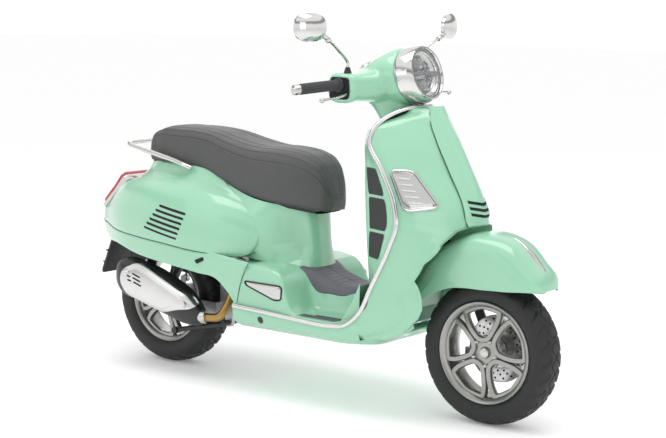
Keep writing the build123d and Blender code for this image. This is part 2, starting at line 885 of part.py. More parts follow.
signal_side = [(489, 806), (549, 805), (638, 694), (555, 686)]
signal_block = side_prism(signal_side, 120, 260)
signal_out = plan_loft([(z, [(x + 6, y + (5 if y else 0)) for x, y in half])
                        for z, half in shield_rows[5:]])
signal_in = plan_loft([(z, [(x + clear, y + (clear if y else 0)) for x, y in half])
                       for z, half in shield_rows[5:]])
with BuildPart() as front_signal:
    add(signal_block)
    add(signal_out, mode=Mode.INTERSECT)
    add(signal_in, mode=Mode.SUBTRACT)
rear_signal_side = [(-904, 552), (-934, 522), (rear_end_x, 532), (-915, 566)]
rear_signal = side_prism(rear_signal_side, 8, 36)
with BuildPart() as rear_signals:
    add(rear_signal)
    add(mirrored(rear_signal))
    add(body_loft(clear, high=clear + 0.2), mode=Mode.SUBTRACT)
with BuildPart() as indicator_lights:
    add(front_signal.part)
    add(mirrored(front_signal.part))
    add(rear_signals.part)

rail_r = 9
rail_foot = (-425, 148, body_top(-425) + rail_r + clear)
rail_half = [(-570, 142, 778), (-735, 118, 800), (-772, 62, 803)]
rail_points = [rail_foot] + rail_half
rail_points += [(x, -y, z) for x, y, z in reversed(rail_points)]
rail_tube = tube(rail_points, rail_r, 34)
with BuildPart() as grab_rail:
    add(rail_tube)

plate_t = 8
plate_hole_r = 3
plate_hole_spacing = 110
plate_top = Vector(-872, 0, 445)
plate_low = Vector(plate_tip_x + plate_t / 2, 0, 307)
plate_run = (plate_low - plate_top).normalized()
plate_normal = Vector(plate_run.Z, 0, -plate_run.X)
plate_bar = block((-872, -83.2, 440), (-862, 83.2, 457))
with BuildPart() as plate_holder:
    plate_origin = (plate_top + plate_low) * 0.5 - plate_normal * (plate_t / 2)
    with BuildSketch(Plane(origin=plate_origin, x_dir=(0, 1, 0), z_dir=plate_normal)):
        Rectangle(156, (plate_low - plate_top).length)
        with GridLocations(plate_hole_spacing, 0, 2, 1):
            Circle(plate_hole_r, mode=Mode.SUBTRACT)
    extrude(amount=plate_t)
    add(plate_bar)

# Engine, swinging with the rear wheel ---------------------------------------------------

mount_pin_r = 10
mount_side = [(floor_rear_x - clear, 300), (floor_rear_x - clear, 420), (-138, 420),
              (-172, 342), (-168, 314)]
mount_ear = side_prism(mount_side, 78, 86)
mount_pin = bar((engine_pivot[0], -86, engine_pivot[2]), (engine_pivot[0], 86, engine_pivot[2]),
                mount_pin_r)
with BuildPart() as engine_mount:
    add(mount_ear)
    add(mirrored(mount_ear))
    add(mount_pin)

engine_case = block((-335, -62, 215), (-190, 70, 330))
engine_lug = block((-200, -74, 312), (-150, 74, 348))
lug_round = bar((engine_pivot[0], -74, engine_pivot[2]), (engine_pivot[0], 74, engine_pivot[2]), 18)
lug_bore = bar((engine_pivot[0], -80, engine_pivot[2]), (engine_pivot[0], 80, engine_pivot[2]),
               mount_pin_r + running)
cylinder_block = bar((-262, -20, 320), (-232, -20, 430), 44)
cylinder_head = block((-292, -70, 396), (-196, 30, 440))
drive_side = [(-664, 218), (-640, 208), (-300, 212), (-200, 215), (-200, 320), (-340, 318),
              (-560, 288), (-620, 272), (-664, 266)]
drive_case = side_prism(drive_side, 72, 132)
left_lug = block((-660, 80, 258), (-640, 88, 300))
rear_axle = bar((rear_axle_x, -84, rear_tyre_r), (rear_axle_x, 74, rear_tyre_r), axle_r)
arm_side = [(-664, 276), (-664, 300), (-636, 300), (-590, 262), (-330, 262), (-330, 214),
            (-610, 214), (-632, 232)]
arm_inner = 76
arm_outer = 88
right_arm = side_prism(arm_side, -arm_outer, -arm_inner)
arm_bridge = block((-352, -arm_outer, 216), (-330, -60, 262))
lower_pin = bar((rear_lower[0], arm_outer - 4, rear_lower[2]), (rear_lower[0], 108, rear_lower[2]), 6)
stand_lug = bar((stand_pivot[0], 40, stand_pivot[2]), (stand_pivot[0], 56, stand_pivot[2]), 16)
stand_web = block((-316, 40, 186), (-284, 56, 220))
stand_bore = bar((stand_pivot[0], -70, stand_pivot[2]), (stand_pivot[0], 70, stand_pivot[2]),
                 stand_r + running)
with BuildPart() as engine_unit:
    add(engine_case)
    add(engine_lug)
    add(lug_round)
    add(cylinder_block)
    add(cylinder_head)
    add(drive_case)
    add(rear_axle)
    add(right_arm)
    add(arm_bridge)
    add(left_lug)
    add(lower_pin)
    add(mirrored(lower_pin))
    add(stand_lug)
    add(stand_web)
    add(mirrored(stand_lug))
    add(mirrored(stand_web))
    add(lug_bore, mode=Mode.SUBTRACT)
    add(stand_bore, mode=Mode.SUBTRACT)

muffler_y = 172
muffler_rows = [  # station, middle height, half height, half width
    (-722, 336, 40, 30),
    (-700, 334, 56, 42),
    (-600, 318, 70, 50),
    (-470, 282, 70, 50),
    (-370, 246, 54, 42),
    (-318, 226, 26, 24),
]


def muffler_loft(grow):
    """Oval volume about the silencer's middle line."""
    with BuildPart() as body:
        for x, middle, tall, wide in muffler_rows:
            with BuildSketch(Plane.YZ.offset(x)):
                with Locations((-muffler_y, middle)):
                    Ellipse(wide + grow, tall + grow)
        loft(ruled=True)
    return body.part


muffler_body = muffler_loft(0)
pipe_r = 15
pipe_path = [(-319, -muffler_y, 226), (-262, -152, 224), (-240, -112, 300), (-240, -106, 384),
             (-240, -64, 420)]
with BuildPart() as pipe:
    add(tube(pipe_path, pipe_r, 26))
    add(cylinder_head, mode=Mode.SUBTRACT)
muffler_strap = block((-560, -128, 236), (-520, -arm_outer - clear, 280))
with BuildPart() as exhaust_silencer:
    add(muffler_body)
    add(pipe.part)
    add(muffler_strap)
shield_zone = [(-672, 318), (-604, 386), (-560, 376), (-340, 290), (-326, 268), (-352, 252),
               (-470, 222), (-640, 262)]
shield_block = side_prism(shield_zone, -260, -muffler_y)
shell_out = muffler_loft(5)
shell_in = muffler_loft(clear)
with BuildPart() as exhaust_shield:
    add(shield_block)
    add(shell_out, mode=Mode.INTERSECT)
    add(shell_in, mode=Mode.SUBTRACT)

# Rear shock absorbers, one each side ----------------------------------------------------

rear_run = Vector(*rear_upper) - Vector(*rear_lower)
rear_dir = rear_run.normalized()
low_ring, low_hole = eye(rear_lower, 16, 14, 6 + 1.6)
high_ring, high_hole = eye(rear_upper, 16, 16, 8 + running)
rear_rod_bar = bar(along(rear_lower, rear_dir, 11), along(rear_lower, rear_dir, 160), rod_r)
with BuildPart() as damper_rod:
    add(rear_rod_bar)
    add(low_ring)
    add(low_hole, mode=Mode.SUBTRACT)
with BuildPart() as rear_damper_rods:
    add(damper_rod.part)
    add(mirrored(damper_rod.part))
rear_body_start = along(rear_lower, rear_dir, 104)
rear_body_end = along(rear_upper, rear_dir, -13)
rear_tube = bar(rear_body_start, rear_body_end, 12)
rear_cap = bar(along(rear_body_end, rear_dir, -8), rear_body_end, 19)
rear_hollow_bar = bar(rear_body_start, along(rear_body_start, rear_dir, 132), rod_r + running)
with BuildPart() as damper_body:
    add(rear_tube)
    add(rear_cap)
    add(high_ring)
    add(rear_hollow_bar, mode=Mode.SUBTRACT)
    add(high_hole, mode=Mode.SUBTRACT)
with BuildPart() as rear_damper_bodies:
    add(damper_body.part)
    add(mirrored(damper_body.part))
coil_start = along(rear_lower, rear_dir, 26)
coil_end = along(rear_body_end, rear_dir, -8 - clear)
coil_outer = bar(coil_start, coil_end, 19)
coil_inner = bar(coil_start, coil_end, 13)
with BuildPart() as coil:
    add(coil_outer)
    add(coil_inner, mode=Mode.SUBTRACT)
with BuildPart() as rear_springs:
    add(coil.part)
    add(mirrored(coil.part))

# Stands and footpegs --------------------------------------------------------------------

stand_foot = (stand_pivot[0] - 214, 98, stand_pivot[2] - 50)
stand_leg = bar((stand_pivot[0], 80, stand_pivot[2]), stand_foot, 9)
stand_shoe = bar((stand_foot[0], 86, stand_foot[2]), (stand_foot[0], 112, stand_foot[2]), 12)
stand_tube = bar((stand_pivot[0], -88, stand_pivot[2]), (stand_pivot[0], 88, stand_pivot[2]), stand_r)
stand_cross = bar((stand_pivot[0] - 40, -84, stand_pivot[2] - 9.3),
                  (stand_pivot[0] - 40, 84, stand_pivot[2] - 9.3), 6)
with BuildPart() as centre_stand:
    add(stand_tube)
    add(stand_cross)
    add(stand_leg)
    add(stand_shoe)
    add(mirrored(stand_leg))
    add(mirrored(stand_shoe))

prop_pin_r = 6
prop_x, prop_y, prop_z = side_stand_pivot
prop_ear = block((prop_x - 14, prop_y + 6, prop_z - 12), (prop_x + 14, prop_y + 14, floor_under_z + 2))
prop_bore = bar((prop_x, prop_y, prop_z), (prop_x, prop_y + 20, prop_z), prop_pin_r + running)
with BuildPart() as side_stand:
    add(bar((prop_x + 9, prop_y - 6, prop_z), (prop_x - 200, prop_y + 10, prop_z - 8), 9))
    add(bar((prop_x, prop_y - 8, prop_z), (prop_x, prop_y + 16, prop_z), prop_pin_r))
    add(block((prop_x - 226, prop_y - 6, prop_z - 14), (prop_x - 190, prop_y + 26, prop_z - 6)))

peg_pin_r = 4
peg_pivot = (88, floor_half_w - 16, 366)
peg_side = [(-70, 382), (-66, 390), (88, 390), (88, 342), (60, 342)]
peg_block = side_prism(peg_side, peg_pivot[1] - 11, peg_pivot[1] + 11)
peg_boss = bar((peg_pivot[0], peg_pivot[1], 342), (peg_pivot[0], peg_pivot[1], 390), 11)
peg_pin = bar((peg_pivot[0], peg_pivot[1], 328), (peg_pivot[0], peg_pivot[1], 402), peg_pin_r)
peg_bore = bar((peg_pivot[0], peg_pivot[1], 326), (peg_pivot[0], peg_pivot[1], 404),
               peg_pin_r + running)
with BuildPart() as left_footpeg:
    add(peg_block)
    add(peg_boss)
    add(peg_pin)
with BuildPart() as right_footpeg:
    add(mirrored(left_footpeg.part))

with BuildPart(mode=Mode.PRIVATE) as floor_finished:
    add(floor_pan.part)
    add(prop_ear)
    add(prop_bore, mode=Mode.SUBTRACT)
    add(peg_bore, mode=Mode.SUBTRACT)
    add(mirrored(peg_bore), mode=Mode.SUBTRACT)

mat_line = [(182, 402), (221, 392), (300, 404), (344, 425)]
mat_side = [(x, z + clear) for x, z in mat_line] + [(x, z + 4.5) for x, z in reversed(mat_line)]
strip_side = [(150, 302.3), (318, 300.9), (318, 303.5), (150, 305)]
with BuildPart() as floor_mats:
    add(side_prism(mat_side, -tunnel_half + 8, tunnel_half - 8))
    for y in (190, 204, 218):
        strip = side_prism(strip_side, y - 3, y + 3)
        add(strip)
        add(mirrored(strip))

# Seat -----------------------------------------------------------------------------------

seat_rows = [  # station, top, half width
    (-668, 822, 62),
    (-650, 846, 88),
    (-600, 868, 112),
    (-500, 876, 128),
    (-350, 868, 131),
    (-260, 848, 144),
    (-140, 830, 150),
    (-60, 829, 146),
    (40, 815, 128),
    (110, 780, 100),
    (150, 735, 78),
    (168, 676, 48),
]


def seat_loft():
    """Cushion between its lower edge and its top."""
    rows = []
    for x, top, w in seat_rows:
        low = level(seat_edge, x) + (14 if x in (seat_rows[0][0], seat_rows[-1][0]) else 0)
        tall = top - low
        outline = [
            (0, low),
            (w - 8, low),
            (w, low + 0.25 * tall),
            (0.97 * w, low + 0.65 * tall),
            (0.75 * w, top - 0.08 * tall),
            (0.4 * w, top),
            (0, top),
        ]
        rows.append((x, outline))
    return station_loft(rows)


with BuildPart() as seat_cushion:
    add(seat_loft())
base_rows = []
for x, half in ((-640, 70), (-600, 96), (-500, 112), (-350, 118), (-260, 130), (-140, 136),
                (-60, 132), (40, 114), (110, 86), (154, 62)):
    z1 = level(seat_edge, x) - clear
    base_rows.append((x, [(0, z1 - base_t + clear), (half, z1 - base_t + clear), (half, z1), (0, z1)]))
base_plate = station_loft(base_rows)
barrel_low = (seat_hinge[0], -19.5, seat_hinge[2])
barrel_high = (seat_hinge[0], 19.5, seat_hinge[2])
hinge_barrel = bar(barrel_low, barrel_high, hinge_barrel_r)
hinge_web = block((146, -19.5, 621), (seat_hinge[0], 19.5, 627.5))
hinge_bore = bar(barrel_low, barrel_high, hinge_pin_r + running)
with BuildPart() as seat_base:
    add(base_plate)
    add(hinge_web)
    add(hinge_barrel)
    add(hinge_bore, mode=Mode.SUBTRACT)

# Headset ---------------------------------------------------------------------------------

tilt = radians(headlight_tilt)
lamp_dir = Vector(cos(tilt), 0, sin(tilt))
bezel_depth = 52


def lamp_plane(back):
    """Plane across the headlight's axis, a distance behind the lens."""
    return Plane(origin=Vector(*headlight_centre) - lamp_dir * back, x_dir=(0, 1, 0), z_dir=lamp_dir)


bulb_rows = [(370, 1090, 97, 88), (320, 1080, 96, 79), (275, 1068, 90, 62), (238, 1062, 78, 44)]
wing_rows = [  # y, low x, high x, low z, high z
    (50, 252, 400, 1012, 1120),
    (120, 250, 372, 1010, 1108),
    (wing_y, 243, 337, 1012, 1100),
]


def bulb_loft(skin, front):
    """Round middle of the headset, drawn in by the skin."""
    with BuildPart() as body:
        with BuildSketch(lamp_plane(front)):
            Circle(94 - skin)
        for x, middle, wide, tall in bulb_rows:
            with BuildSketch(Plane.YZ.offset(x + (skin if x == bulb_rows[-1][0] else 0))):
                with Locations((0, middle)):
                    Ellipse(wide - skin, tall - skin)
        loft(ruled=True)
    return body.part


def wing_loft(skin):
    """Left wing of the headset, drawn in by the skin and open at its end."""
    with BuildPart() as body:
        for y, x0, x1, z0, z1 in wing_rows:
            cut = 24
            station = y + (2 if skin and y == wing_y else 0) - (20 if skin and y == 50 else 0)
            x0, x1, z0, z1 = x0 + skin, x1 - skin, z0 + skin, z1 - skin
            with BuildSketch(Plane.XZ.offset(-station)):
                with BuildLine():
                    Polyline(
                        (x0 + cut, z0), (x1 - cut, z0), (x1, z0 + cut), (x1, z1 - cut),
                        (x1 - cut, z1), (x0 + cut, z1), (x0, z1 - cut), (x0, z0 + cut),
                        close=True,
                    )
                make_face()
        loft(ruled=True)
    return body.part


bulb_outer = bulb_loft(0, bezel_depth + clear)
bulb_inner = bulb_loft(sheet, bezel_depth - 6)
wing_outer = wing_loft(0)
wing_inner = wing_loft(sheet)
neck_outer = steer_bar(957, 1030, neck_r)
neck_inner = steer_bar(950, 1040, neck_r - sheet)
panel_normal = Vector(-0.45, 0, 0.893)
panel_low = Vector(286, 0, 1122)
panel_r = 50
panel_body = bar(tuple(panel_low), tuple(panel_low + panel_normal * 26), panel_r)
panel_hole = bar(tuple(panel_low - panel_normal * 10), tuple(panel_low + panel_normal * 60),
                 panel_r + clear)
button_y = 182
button_r = 6
button_z = 1062
button = bar((236, button_y, button_z), (258, button_y, button_z), button_r)
button_hole = bar((230, button_y, button_z), (262, button_y, button_z), button_r + 0.4)
with BuildPart() as headset_cover:
    add(bulb_outer)
    add(wing_outer)
    add(mirrored(wing_outer))
    add(neck_outer)
    add(bulb_inner, mode=Mode.SUBTRACT)
    add(wing_inner, mode=Mode.SUBTRACT)
    add(mirrored(wing_inner), mode=Mode.SUBTRACT)
    add(neck_inner, mode=Mode.SUBTRACT)
    add(panel_hole, mode=Mode.SUBTRACT)
    add(button_hole, mode=Mode.SUBTRACT)
    add(mirrored(button_hole), mode=Mode.SUBTRACT)
with BuildPart() as instrument_panel:
    add(panel_body)
with BuildPart() as starter_button:
    add(mirrored(button))
with BuildPart() as horn_button:
    add(button)

with BuildPart() as headlight_bezel:
    with BuildSketch(lamp_plane(bezel_depth)):
        Circle(95)
    with BuildSketch(lamp_plane(0)):
        Circle(headlight_r + 8)
    loft(ruled=True)
    with BuildSketch(lamp_plane(bezel_depth + 1)):
        Circle(headlight_r - 2)
    extrude(amount=bezel_depth + 2, mode=Mode.SUBTRACT)
    with BuildSketch(lamp_plane(6)):
        Circle(headlight_r + clear)
    extrude(amount=10, mode=Mode.SUBTRACT)
with BuildPart() as headlight_lens:
    with BuildSketch(lamp_plane(6 - clear)):
        Circle(headlight_r)
    with BuildSketch(lamp_plane(0)):
        Circle(headlight_r - 1)
    with BuildSketch(lamp_plane(-7)):
        Circle(headlight_r - 30)
    loft(ruled=True)
with BuildPart() as headlight_reflector:
    with BuildSketch(lamp_plane(bezel_depth)):
        Circle(headlight_r - 26)
    with BuildSketch(lamp_plane(8)):
        Circle(headlight_r - 2 - clear)
    loft(ruled=True)
    with BuildSketch(lamp_plane(bezel_depth - 4)):
        Circle(headlight_r - 30)
    with BuildSketch(lamp_plane(7)):
        Circle(headlight_r - 6)
    loft(ruled=True, mode=Mode.SUBTRACT)


def bar_point(y, side=1):
    """Point of the handlebar at a distance from the middle plane."""
    share = y / bar_tip[1]
    x = bar_centre[0] + (bar_tip[0] - bar_centre[0]) * share
    z = bar_centre[2] + (bar_tip[2] - bar_centre[2]) * share
    return (x, side * y, z)


bar_stop = bar_tip[1] - 6
left_bar = bar(bar_point(0), bar_point(bar_stop), bar_r)
clamp = steer_bar(1052, 1078, column_r + 8)
clamp_bore = steer_bar(1030, 1100, column_r + clear)
with BuildPart() as handlebar_tube:
    add(left_bar)
    add(mirrored(left_bar))
    add(clamp)
    add(clamp_bore, mode=Mode.SUBTRACT)

grip_outer = bar(bar_point(grip_start - 14), bar_point(grip_end), grip_r)
grip_flange = bar(bar_point(grip_start - 14), bar_point(grip_start - 8), grip_r + 5)
grip_bore = bar(bar_point(grip_start - 20), bar_point(grip_end + 6), bar_r + running)
with BuildPart() as left_grip:
    add(grip_outer)
    add(grip_flange)
    add(grip_bore, mode=Mode.SUBTRACT)
with BuildPart() as throttle_grip:
    add(mirrored(left_grip.part))
end_cap = bar(bar_point(grip_end + 2), bar_point(bar_tip[1]), grip_r - 2)
end_bore = bar(bar_point(grip_end), bar_point(bar_stop + clear), bar_r + clear)
with BuildPart() as bar_ends:
    add(end_cap)
    add(end_bore, mode=Mode.SUBTRACT)
    add(mirrored(end_cap - end_bore))

lever_pivot = (312, 186, 1044)
lever_pin_r = 4
lever_tip = (343, 356, 1025)
lever_path = [(lever_pivot[0], lever_pivot[1] + 2, lever_pivot[2]), (329, 222, 1040), (346, 300, 1030),
              lever_tip]
lever_tube = tube(lever_path, 6, [60, 120])
lever_eye = bar((lever_pivot[0], lever_pivot[1], 1038), (lever_pivot[0], lever_pivot[1], 1050), 9)
lever_bore = bar((lever_pivot[0], lever_pivot[1], 1030), (lever_pivot[0], lever_pivot[1], 1060),
                 lever_pin_r + running)
with BuildPart() as left_brake_lever:
    add(lever_tube)
    add(lever_eye)
    with Locations(lever_tip):
        Sphere(9)
    add(lever_bore, mode=Mode.SUBTRACT)
with BuildPart() as right_brake_lever:
    add(mirrored(left_brake_lever.part))

housing_block = block((276, 168, 1016.6), (302, 196, 1090))
lever_top = block((290, 176, 1051), (322, 196, 1056))
lever_bottom = block((290, 176, 1031), (322, 196, 1037))
lever_pin = bar((lever_pivot[0], lever_pivot[1], 1032), (lever_pivot[0], lever_pivot[1], 1055),
                lever_pin_r)
housing_bore = bar(bar_point(150), bar_point(220), bar_r + clear)
with BuildPart() as left_housing:
    add(housing_block)
    add(lever_top)
    add(lever_bottom)
    add(lever_pin)
    add(housing_bore, mode=Mode.SUBTRACT)
with BuildPart() as switch_housings:
    add(left_housing.part)
    add(mirrored(left_housing.part))

# Mirrors ---------------------------------------------------------------------------------

stem_foot = (307, 180, 1103.3)
mirror_joint = (329, 323, 1217)
mirror_centre = (320, 387, 1250)
mirror_turn = radians(15)
joint_r = 8
boot = bar(stem_foot, (stem_foot[0], stem_foot[1], stem_foot[2] + 24), 10)
stem = tube([(stem_foot[0], stem_foot[1], stem_foot[2] + 10),
             (stem_foot[0], stem_foot[1], stem_foot[2] + 32), mirror_joint], 5, 12)
with BuildPart() as left_stem:
    add(boot)
    add(stem)
    with Locations(mirror_joint):
        Sphere(joint_r)
with BuildPart() as mirror_stems:
    add(left_stem.part)
    add(mirrored(left_stem.part))

mirror_face = Plane(
    origin=mirror_centre,
    x_dir=(-sin(mirror_turn), cos(mirror_turn), 0),
    z_dir=(-cos(mirror_turn), -sin(mirror_turn), 0),
)
mirror_arm_dir = (Vector(*mirror_centre) - Vector(*mirror_joint)).normalized()
mirror_arm = bar(along(mirror_joint, mirror_arm_dir, 5), along(mirror_joint, mirror_arm_dir, 44), 7)
with BuildPart() as mirror_shell:
    with BuildSketch(mirror_face):
        Ellipse(62, 45)
    extrude(amount=17, both=True)
    fillet(mirror_shell.edges(), radius=12)
with BuildPart() as joint_room:
    with Locations(mirror_joint):
        Sphere(joint_r + clear)
with BuildPart() as left_mirror:
    add(mirror_shell.part)
    add(mirror_arm)
    add(joint_room.part, mode=Mode.SUBTRACT)
with BuildPart() as right_mirror:
    add(mirrored(left_mirror.part))

for label, builder in (
    ("front_tyre", front_tyre),
    ("front_rim", front_rim),
    ("front_disc", front_disc),
    ("front_wheel_bolts", front_wheel_bolts),
    ("front_link", front_link),
    ("front_damper_rod", front_damper_rod),
    ("front_damper_body", front_damper_body),
    ("front_spring", front_spring),
    ("steering_column", steering_column),
    ("head_tube", head_tube),
    ("front_fender", front_fender),
    ("legshield", legshield),
    ("horn_cover", horn_cover),
    ("shield_trim", shield_trim),
    ("inner_legshield", inner_legshield),
    ("glove_door", glove_door),
    ("floor_pan", floor_finished),
    ("rear_tyre", rear_tyre),
    ("rear_rim", rear_rim),
    ("rear_wheel_bolts", rear_wheel_bolts),
    ("main_body", main_body),
    ("storage_tub", storage_tub),
    ("left_cowl", left_cowl),
    ("right_cowl", right_cowl),
    ("lower_skirt", lower_skirt),
    ("tail_light", tail_light),
    ("indicator_lights", indicator_lights),
    ("grab_rail", grab_rail),
    ("plate_holder", plate_holder),
    ("engine_mount", engine_mount),
    ("engine_unit", engine_unit),
    ("exhaust_silencer", exhaust_silencer),
    ("exhaust_shield", exhaust_shield),
    ("rear_damper_rods", rear_damper_rods),
    ("rear_damper_bodies", rear_damper_bodies),
    ("rear_springs", rear_springs),
    ("centre_stand", centre_stand),
    ("side_stand", side_stand),
    ("left_footpeg", left_footpeg),
    ("right_footpeg", right_footpeg),
    ("floor_mats", floor_mats),
    ("seat_cushion", seat_cushion),
    ("seat_base", seat_base),
    ("headset_cover", headset_cover),
    ("instrument_panel", instrument_panel),
    ("starter_button", starter_button),
    ("horn_button", horn_button),
    ("headlight_bezel", headlight_bezel),
    ("headlight_lens", headlight_lens),
    ("headlight_reflector", headlight_reflector),
    ("handlebar_tube", handlebar_tube),
    ("left_grip", left_grip),
    ("throttle_grip", throttle_grip),
    ("bar_ends", bar_ends),
    ("left_brake_lever", left_brake_lever),
    ("right_brake_lever", right_brake_lever),
    ("switch_housings", switch_housings),
    ("mirror_stems", mirror_stems),
    ("left_mirror", left_mirror),
    ("right_mirror", right_mirror),
):
    write(label, builder)
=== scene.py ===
import bmesh
import bpy
import numpy as np
from mathutils import Matrix, Vector


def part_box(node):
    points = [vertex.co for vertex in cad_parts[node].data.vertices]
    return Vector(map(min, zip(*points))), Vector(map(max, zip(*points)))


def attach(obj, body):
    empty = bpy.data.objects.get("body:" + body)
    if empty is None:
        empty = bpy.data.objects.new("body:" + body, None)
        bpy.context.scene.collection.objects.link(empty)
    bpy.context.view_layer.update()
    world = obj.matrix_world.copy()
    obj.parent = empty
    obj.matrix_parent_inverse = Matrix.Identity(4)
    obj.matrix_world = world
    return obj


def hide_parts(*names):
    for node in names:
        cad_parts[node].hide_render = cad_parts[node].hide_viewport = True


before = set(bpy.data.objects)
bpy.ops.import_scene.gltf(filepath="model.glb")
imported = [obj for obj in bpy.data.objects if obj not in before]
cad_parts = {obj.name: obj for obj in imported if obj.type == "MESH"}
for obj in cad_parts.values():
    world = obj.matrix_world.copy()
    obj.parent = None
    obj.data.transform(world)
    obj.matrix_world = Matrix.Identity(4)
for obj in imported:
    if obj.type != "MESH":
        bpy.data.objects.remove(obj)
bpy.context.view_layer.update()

# Shapes are worked out in millimetres in the drawing frame: X forward, Y left, Z up.
front_axle = np.array([764.0, 0.0, 236.0])
rear_axle = np.array([-610.0, 0.0, 243.0])
tyre_low, tyre_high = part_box("front_tyre")
shift_x = (tyre_low.x + tyre_high.x) * 500 - front_axle[0]

# Curves and grids ---------------------------------------------------------------------


def through(knots, rows, at):
    """Cubic from row to row: slopes are central differences, so it passes each row smoothly."""
    knots = np.asarray(knots, float)
    rows = np.asarray(rows, float)
    at = np.asarray(at, float)
    slopes = np.gradient(rows, knots, axis=0)
    i = np.clip(np.searchsorted(knots, at, side="right") - 1, 0, len(knots) - 2)
    step = knots[i + 1] - knots[i]
    t = np.clip((at - knots[i]) / step, 0, 1)
    extra = (1,) * (rows.ndim - 1)
    t = t.reshape(t.shape + extra)
    step = step.reshape(step.shape + extra)
    start = (1 + 2 * t) * (1 - t) ** 2 * rows[i] + t * (1 - t) ** 2 * step * slopes[i]
    return start + t * t * (3 - 2 * t) * rows[i + 1] - t * t * (1 - t) * step * slopes[i + 1]


def skin(knots, table, along, across):
    """Skin over rows of points: cubic from row to row, then cubic along the row (across 0..1)."""
    table = np.asarray(table, float)
    count = table.shape[1]
    rows = through(knots, table, along)
    weights = through(np.arange(count), np.eye(count), np.asarray(across) * (count - 1))
    return np.einsum("...k,...kd->...d", weights, rows)


def uv(nu, nv, low=0.0, high=1.0):
    """Two grids of parameters, u down the rows and v along them."""
    return np.meshgrid(np.linspace(low, high, nu), np.linspace(0, 1, nv), indexing="ij")


def stack(*coordinates):
    """Points from their coordinates, each an array or a number."""
    return np.stack(np.broadcast_arrays(*coordinates), -1).astype(float)


def grid(points, wrap_u=False, wrap_v=False, inside=None, flip=False):
    """Quads over a grid of points, turned so that they face away from a point inside."""
    nu, nv = points.shape[:2]
    index = np.arange(nu * nv).reshape(nu, nv)
    if wrap_u:
        index = np.vstack([index, index[:1]])
    if wrap_v:
        index = np.hstack([index, index[:, :1]])
    quads = np.stack([index[:-1, :-1], index[1:, :-1], index[1:, 1:], index[:-1, 1:]], -1)
    quads = quads.reshape(-1, 4)
    flat = points.reshape(-1, 3)
    corner = flat[quads]
    normal = np.cross(corner[:, 2] - corner[:, 0], corner[:, 3] - corner[:, 1])
    centre = flat.mean(0) if inside is None else np.asarray(inside, float)
    if (normal * (corner.mean(1) - centre)).sum() < 0:
        quads = quads[:, ::-1]
    if flip:
        quads = quads[:, ::-1]
    return flat, quads


def ends_closed(points):
    """The grid with its first and last rows drawn to their middles."""
    first = np.broadcast_to(points[0].mean(0), points[0].shape)
    last = np.broadcast_to(points[-1].mean(0), points[-1].shape)
    return np.concatenate([first[None], points, last[None]])


def mirrored(part):
    """The same part on the other side of the middle plane."""
    return part[0] * [1, -1, 1], part[1][:, ::-1]


def both(parts):
    """Parts with their mirror images."""
    parts = parts if isinstance(parts, list) else [parts]
    return parts + [mirrored(p) for p in parts]


def circle(n, radius=1.0, phase=0.0):
    """n points of a circle, without the repeated last one."""
    a = np.arange(n) * 2 * np.pi / n + phase
    return np.stack([np.cos(a), np.sin(a)], -1) * radius


def lathe(profile, origin=(0, 0, 0), axis=(0, 1, 0), n=96, closed=False):
    """Turned surface: points (radius, distance along the axis) carried round the axis."""
    profile = np.asarray(profile, float)
    axis = np.asarray(axis, float) / np.linalg.norm(axis)
    side = np.cross(axis, (0.0, 0.0, 1.0) if abs(axis[2]) < 0.9 else (1.0, 0.0, 0.0))
    side /= np.linalg.norm(side)
    other = np.cross(axis, side)
    ring = circle(n)
    spokes = ring[:, :1] * side + ring[:, 1:] * other
    points = np.asarray(origin, float) + spokes[:, None] * profile[None, :, :1] + axis * profile[None, :, 1:]
    return grid(points, wrap_u=True, wrap_v=closed)


def resampled(points, count, closed=False):
    """A smooth line through points, read at equal shares of its chord length."""
    points = np.asarray(points, float)
    if closed:
        points = np.concatenate([points[-3:], points, points[:3]])
    reach = np.concatenate([[0], np.cumsum(np.linalg.norm(np.diff(points, axis=0), axis=1))])
    low, high = (reach[3], reach[-3]) if closed else (0, reach[-1])
    return through(reach, points, np.linspace(low, high, count, endpoint=not closed))


def rounded(points, radius, steps=6, closed=True):
    """A polygon whose corners are rounded by quadratic arcs that start a radius away."""
    points = np.asarray(points, float)
    before = np.roll(points, 1, 0) - points
    after = np.roll(points, -1, 0) - points
    reach = np.minimum(radius, 0.49 * np.minimum(np.linalg.norm(before, axis=1), np.linalg.norm(after, axis=1)))
    a = points + before / np.linalg.norm(before, axis=1)[:, None] * reach[:, None]
    b = points + after / np.linalg.norm(after, axis=1)[:, None] * reach[:, None]
    t = np.linspace(0, 1, steps)[None, :, None]
    arcs = (1 - t) ** 2 * a[:, None] + 2 * t * (1 - t) * points[:, None] + t * t * b[:, None]
    if not closed:
        return np.concatenate([points[:1], arcs[1:-1].reshape(-1, points.shape[1]), points[-1:]])
    return arcs.reshape(-1, points.shape[1])


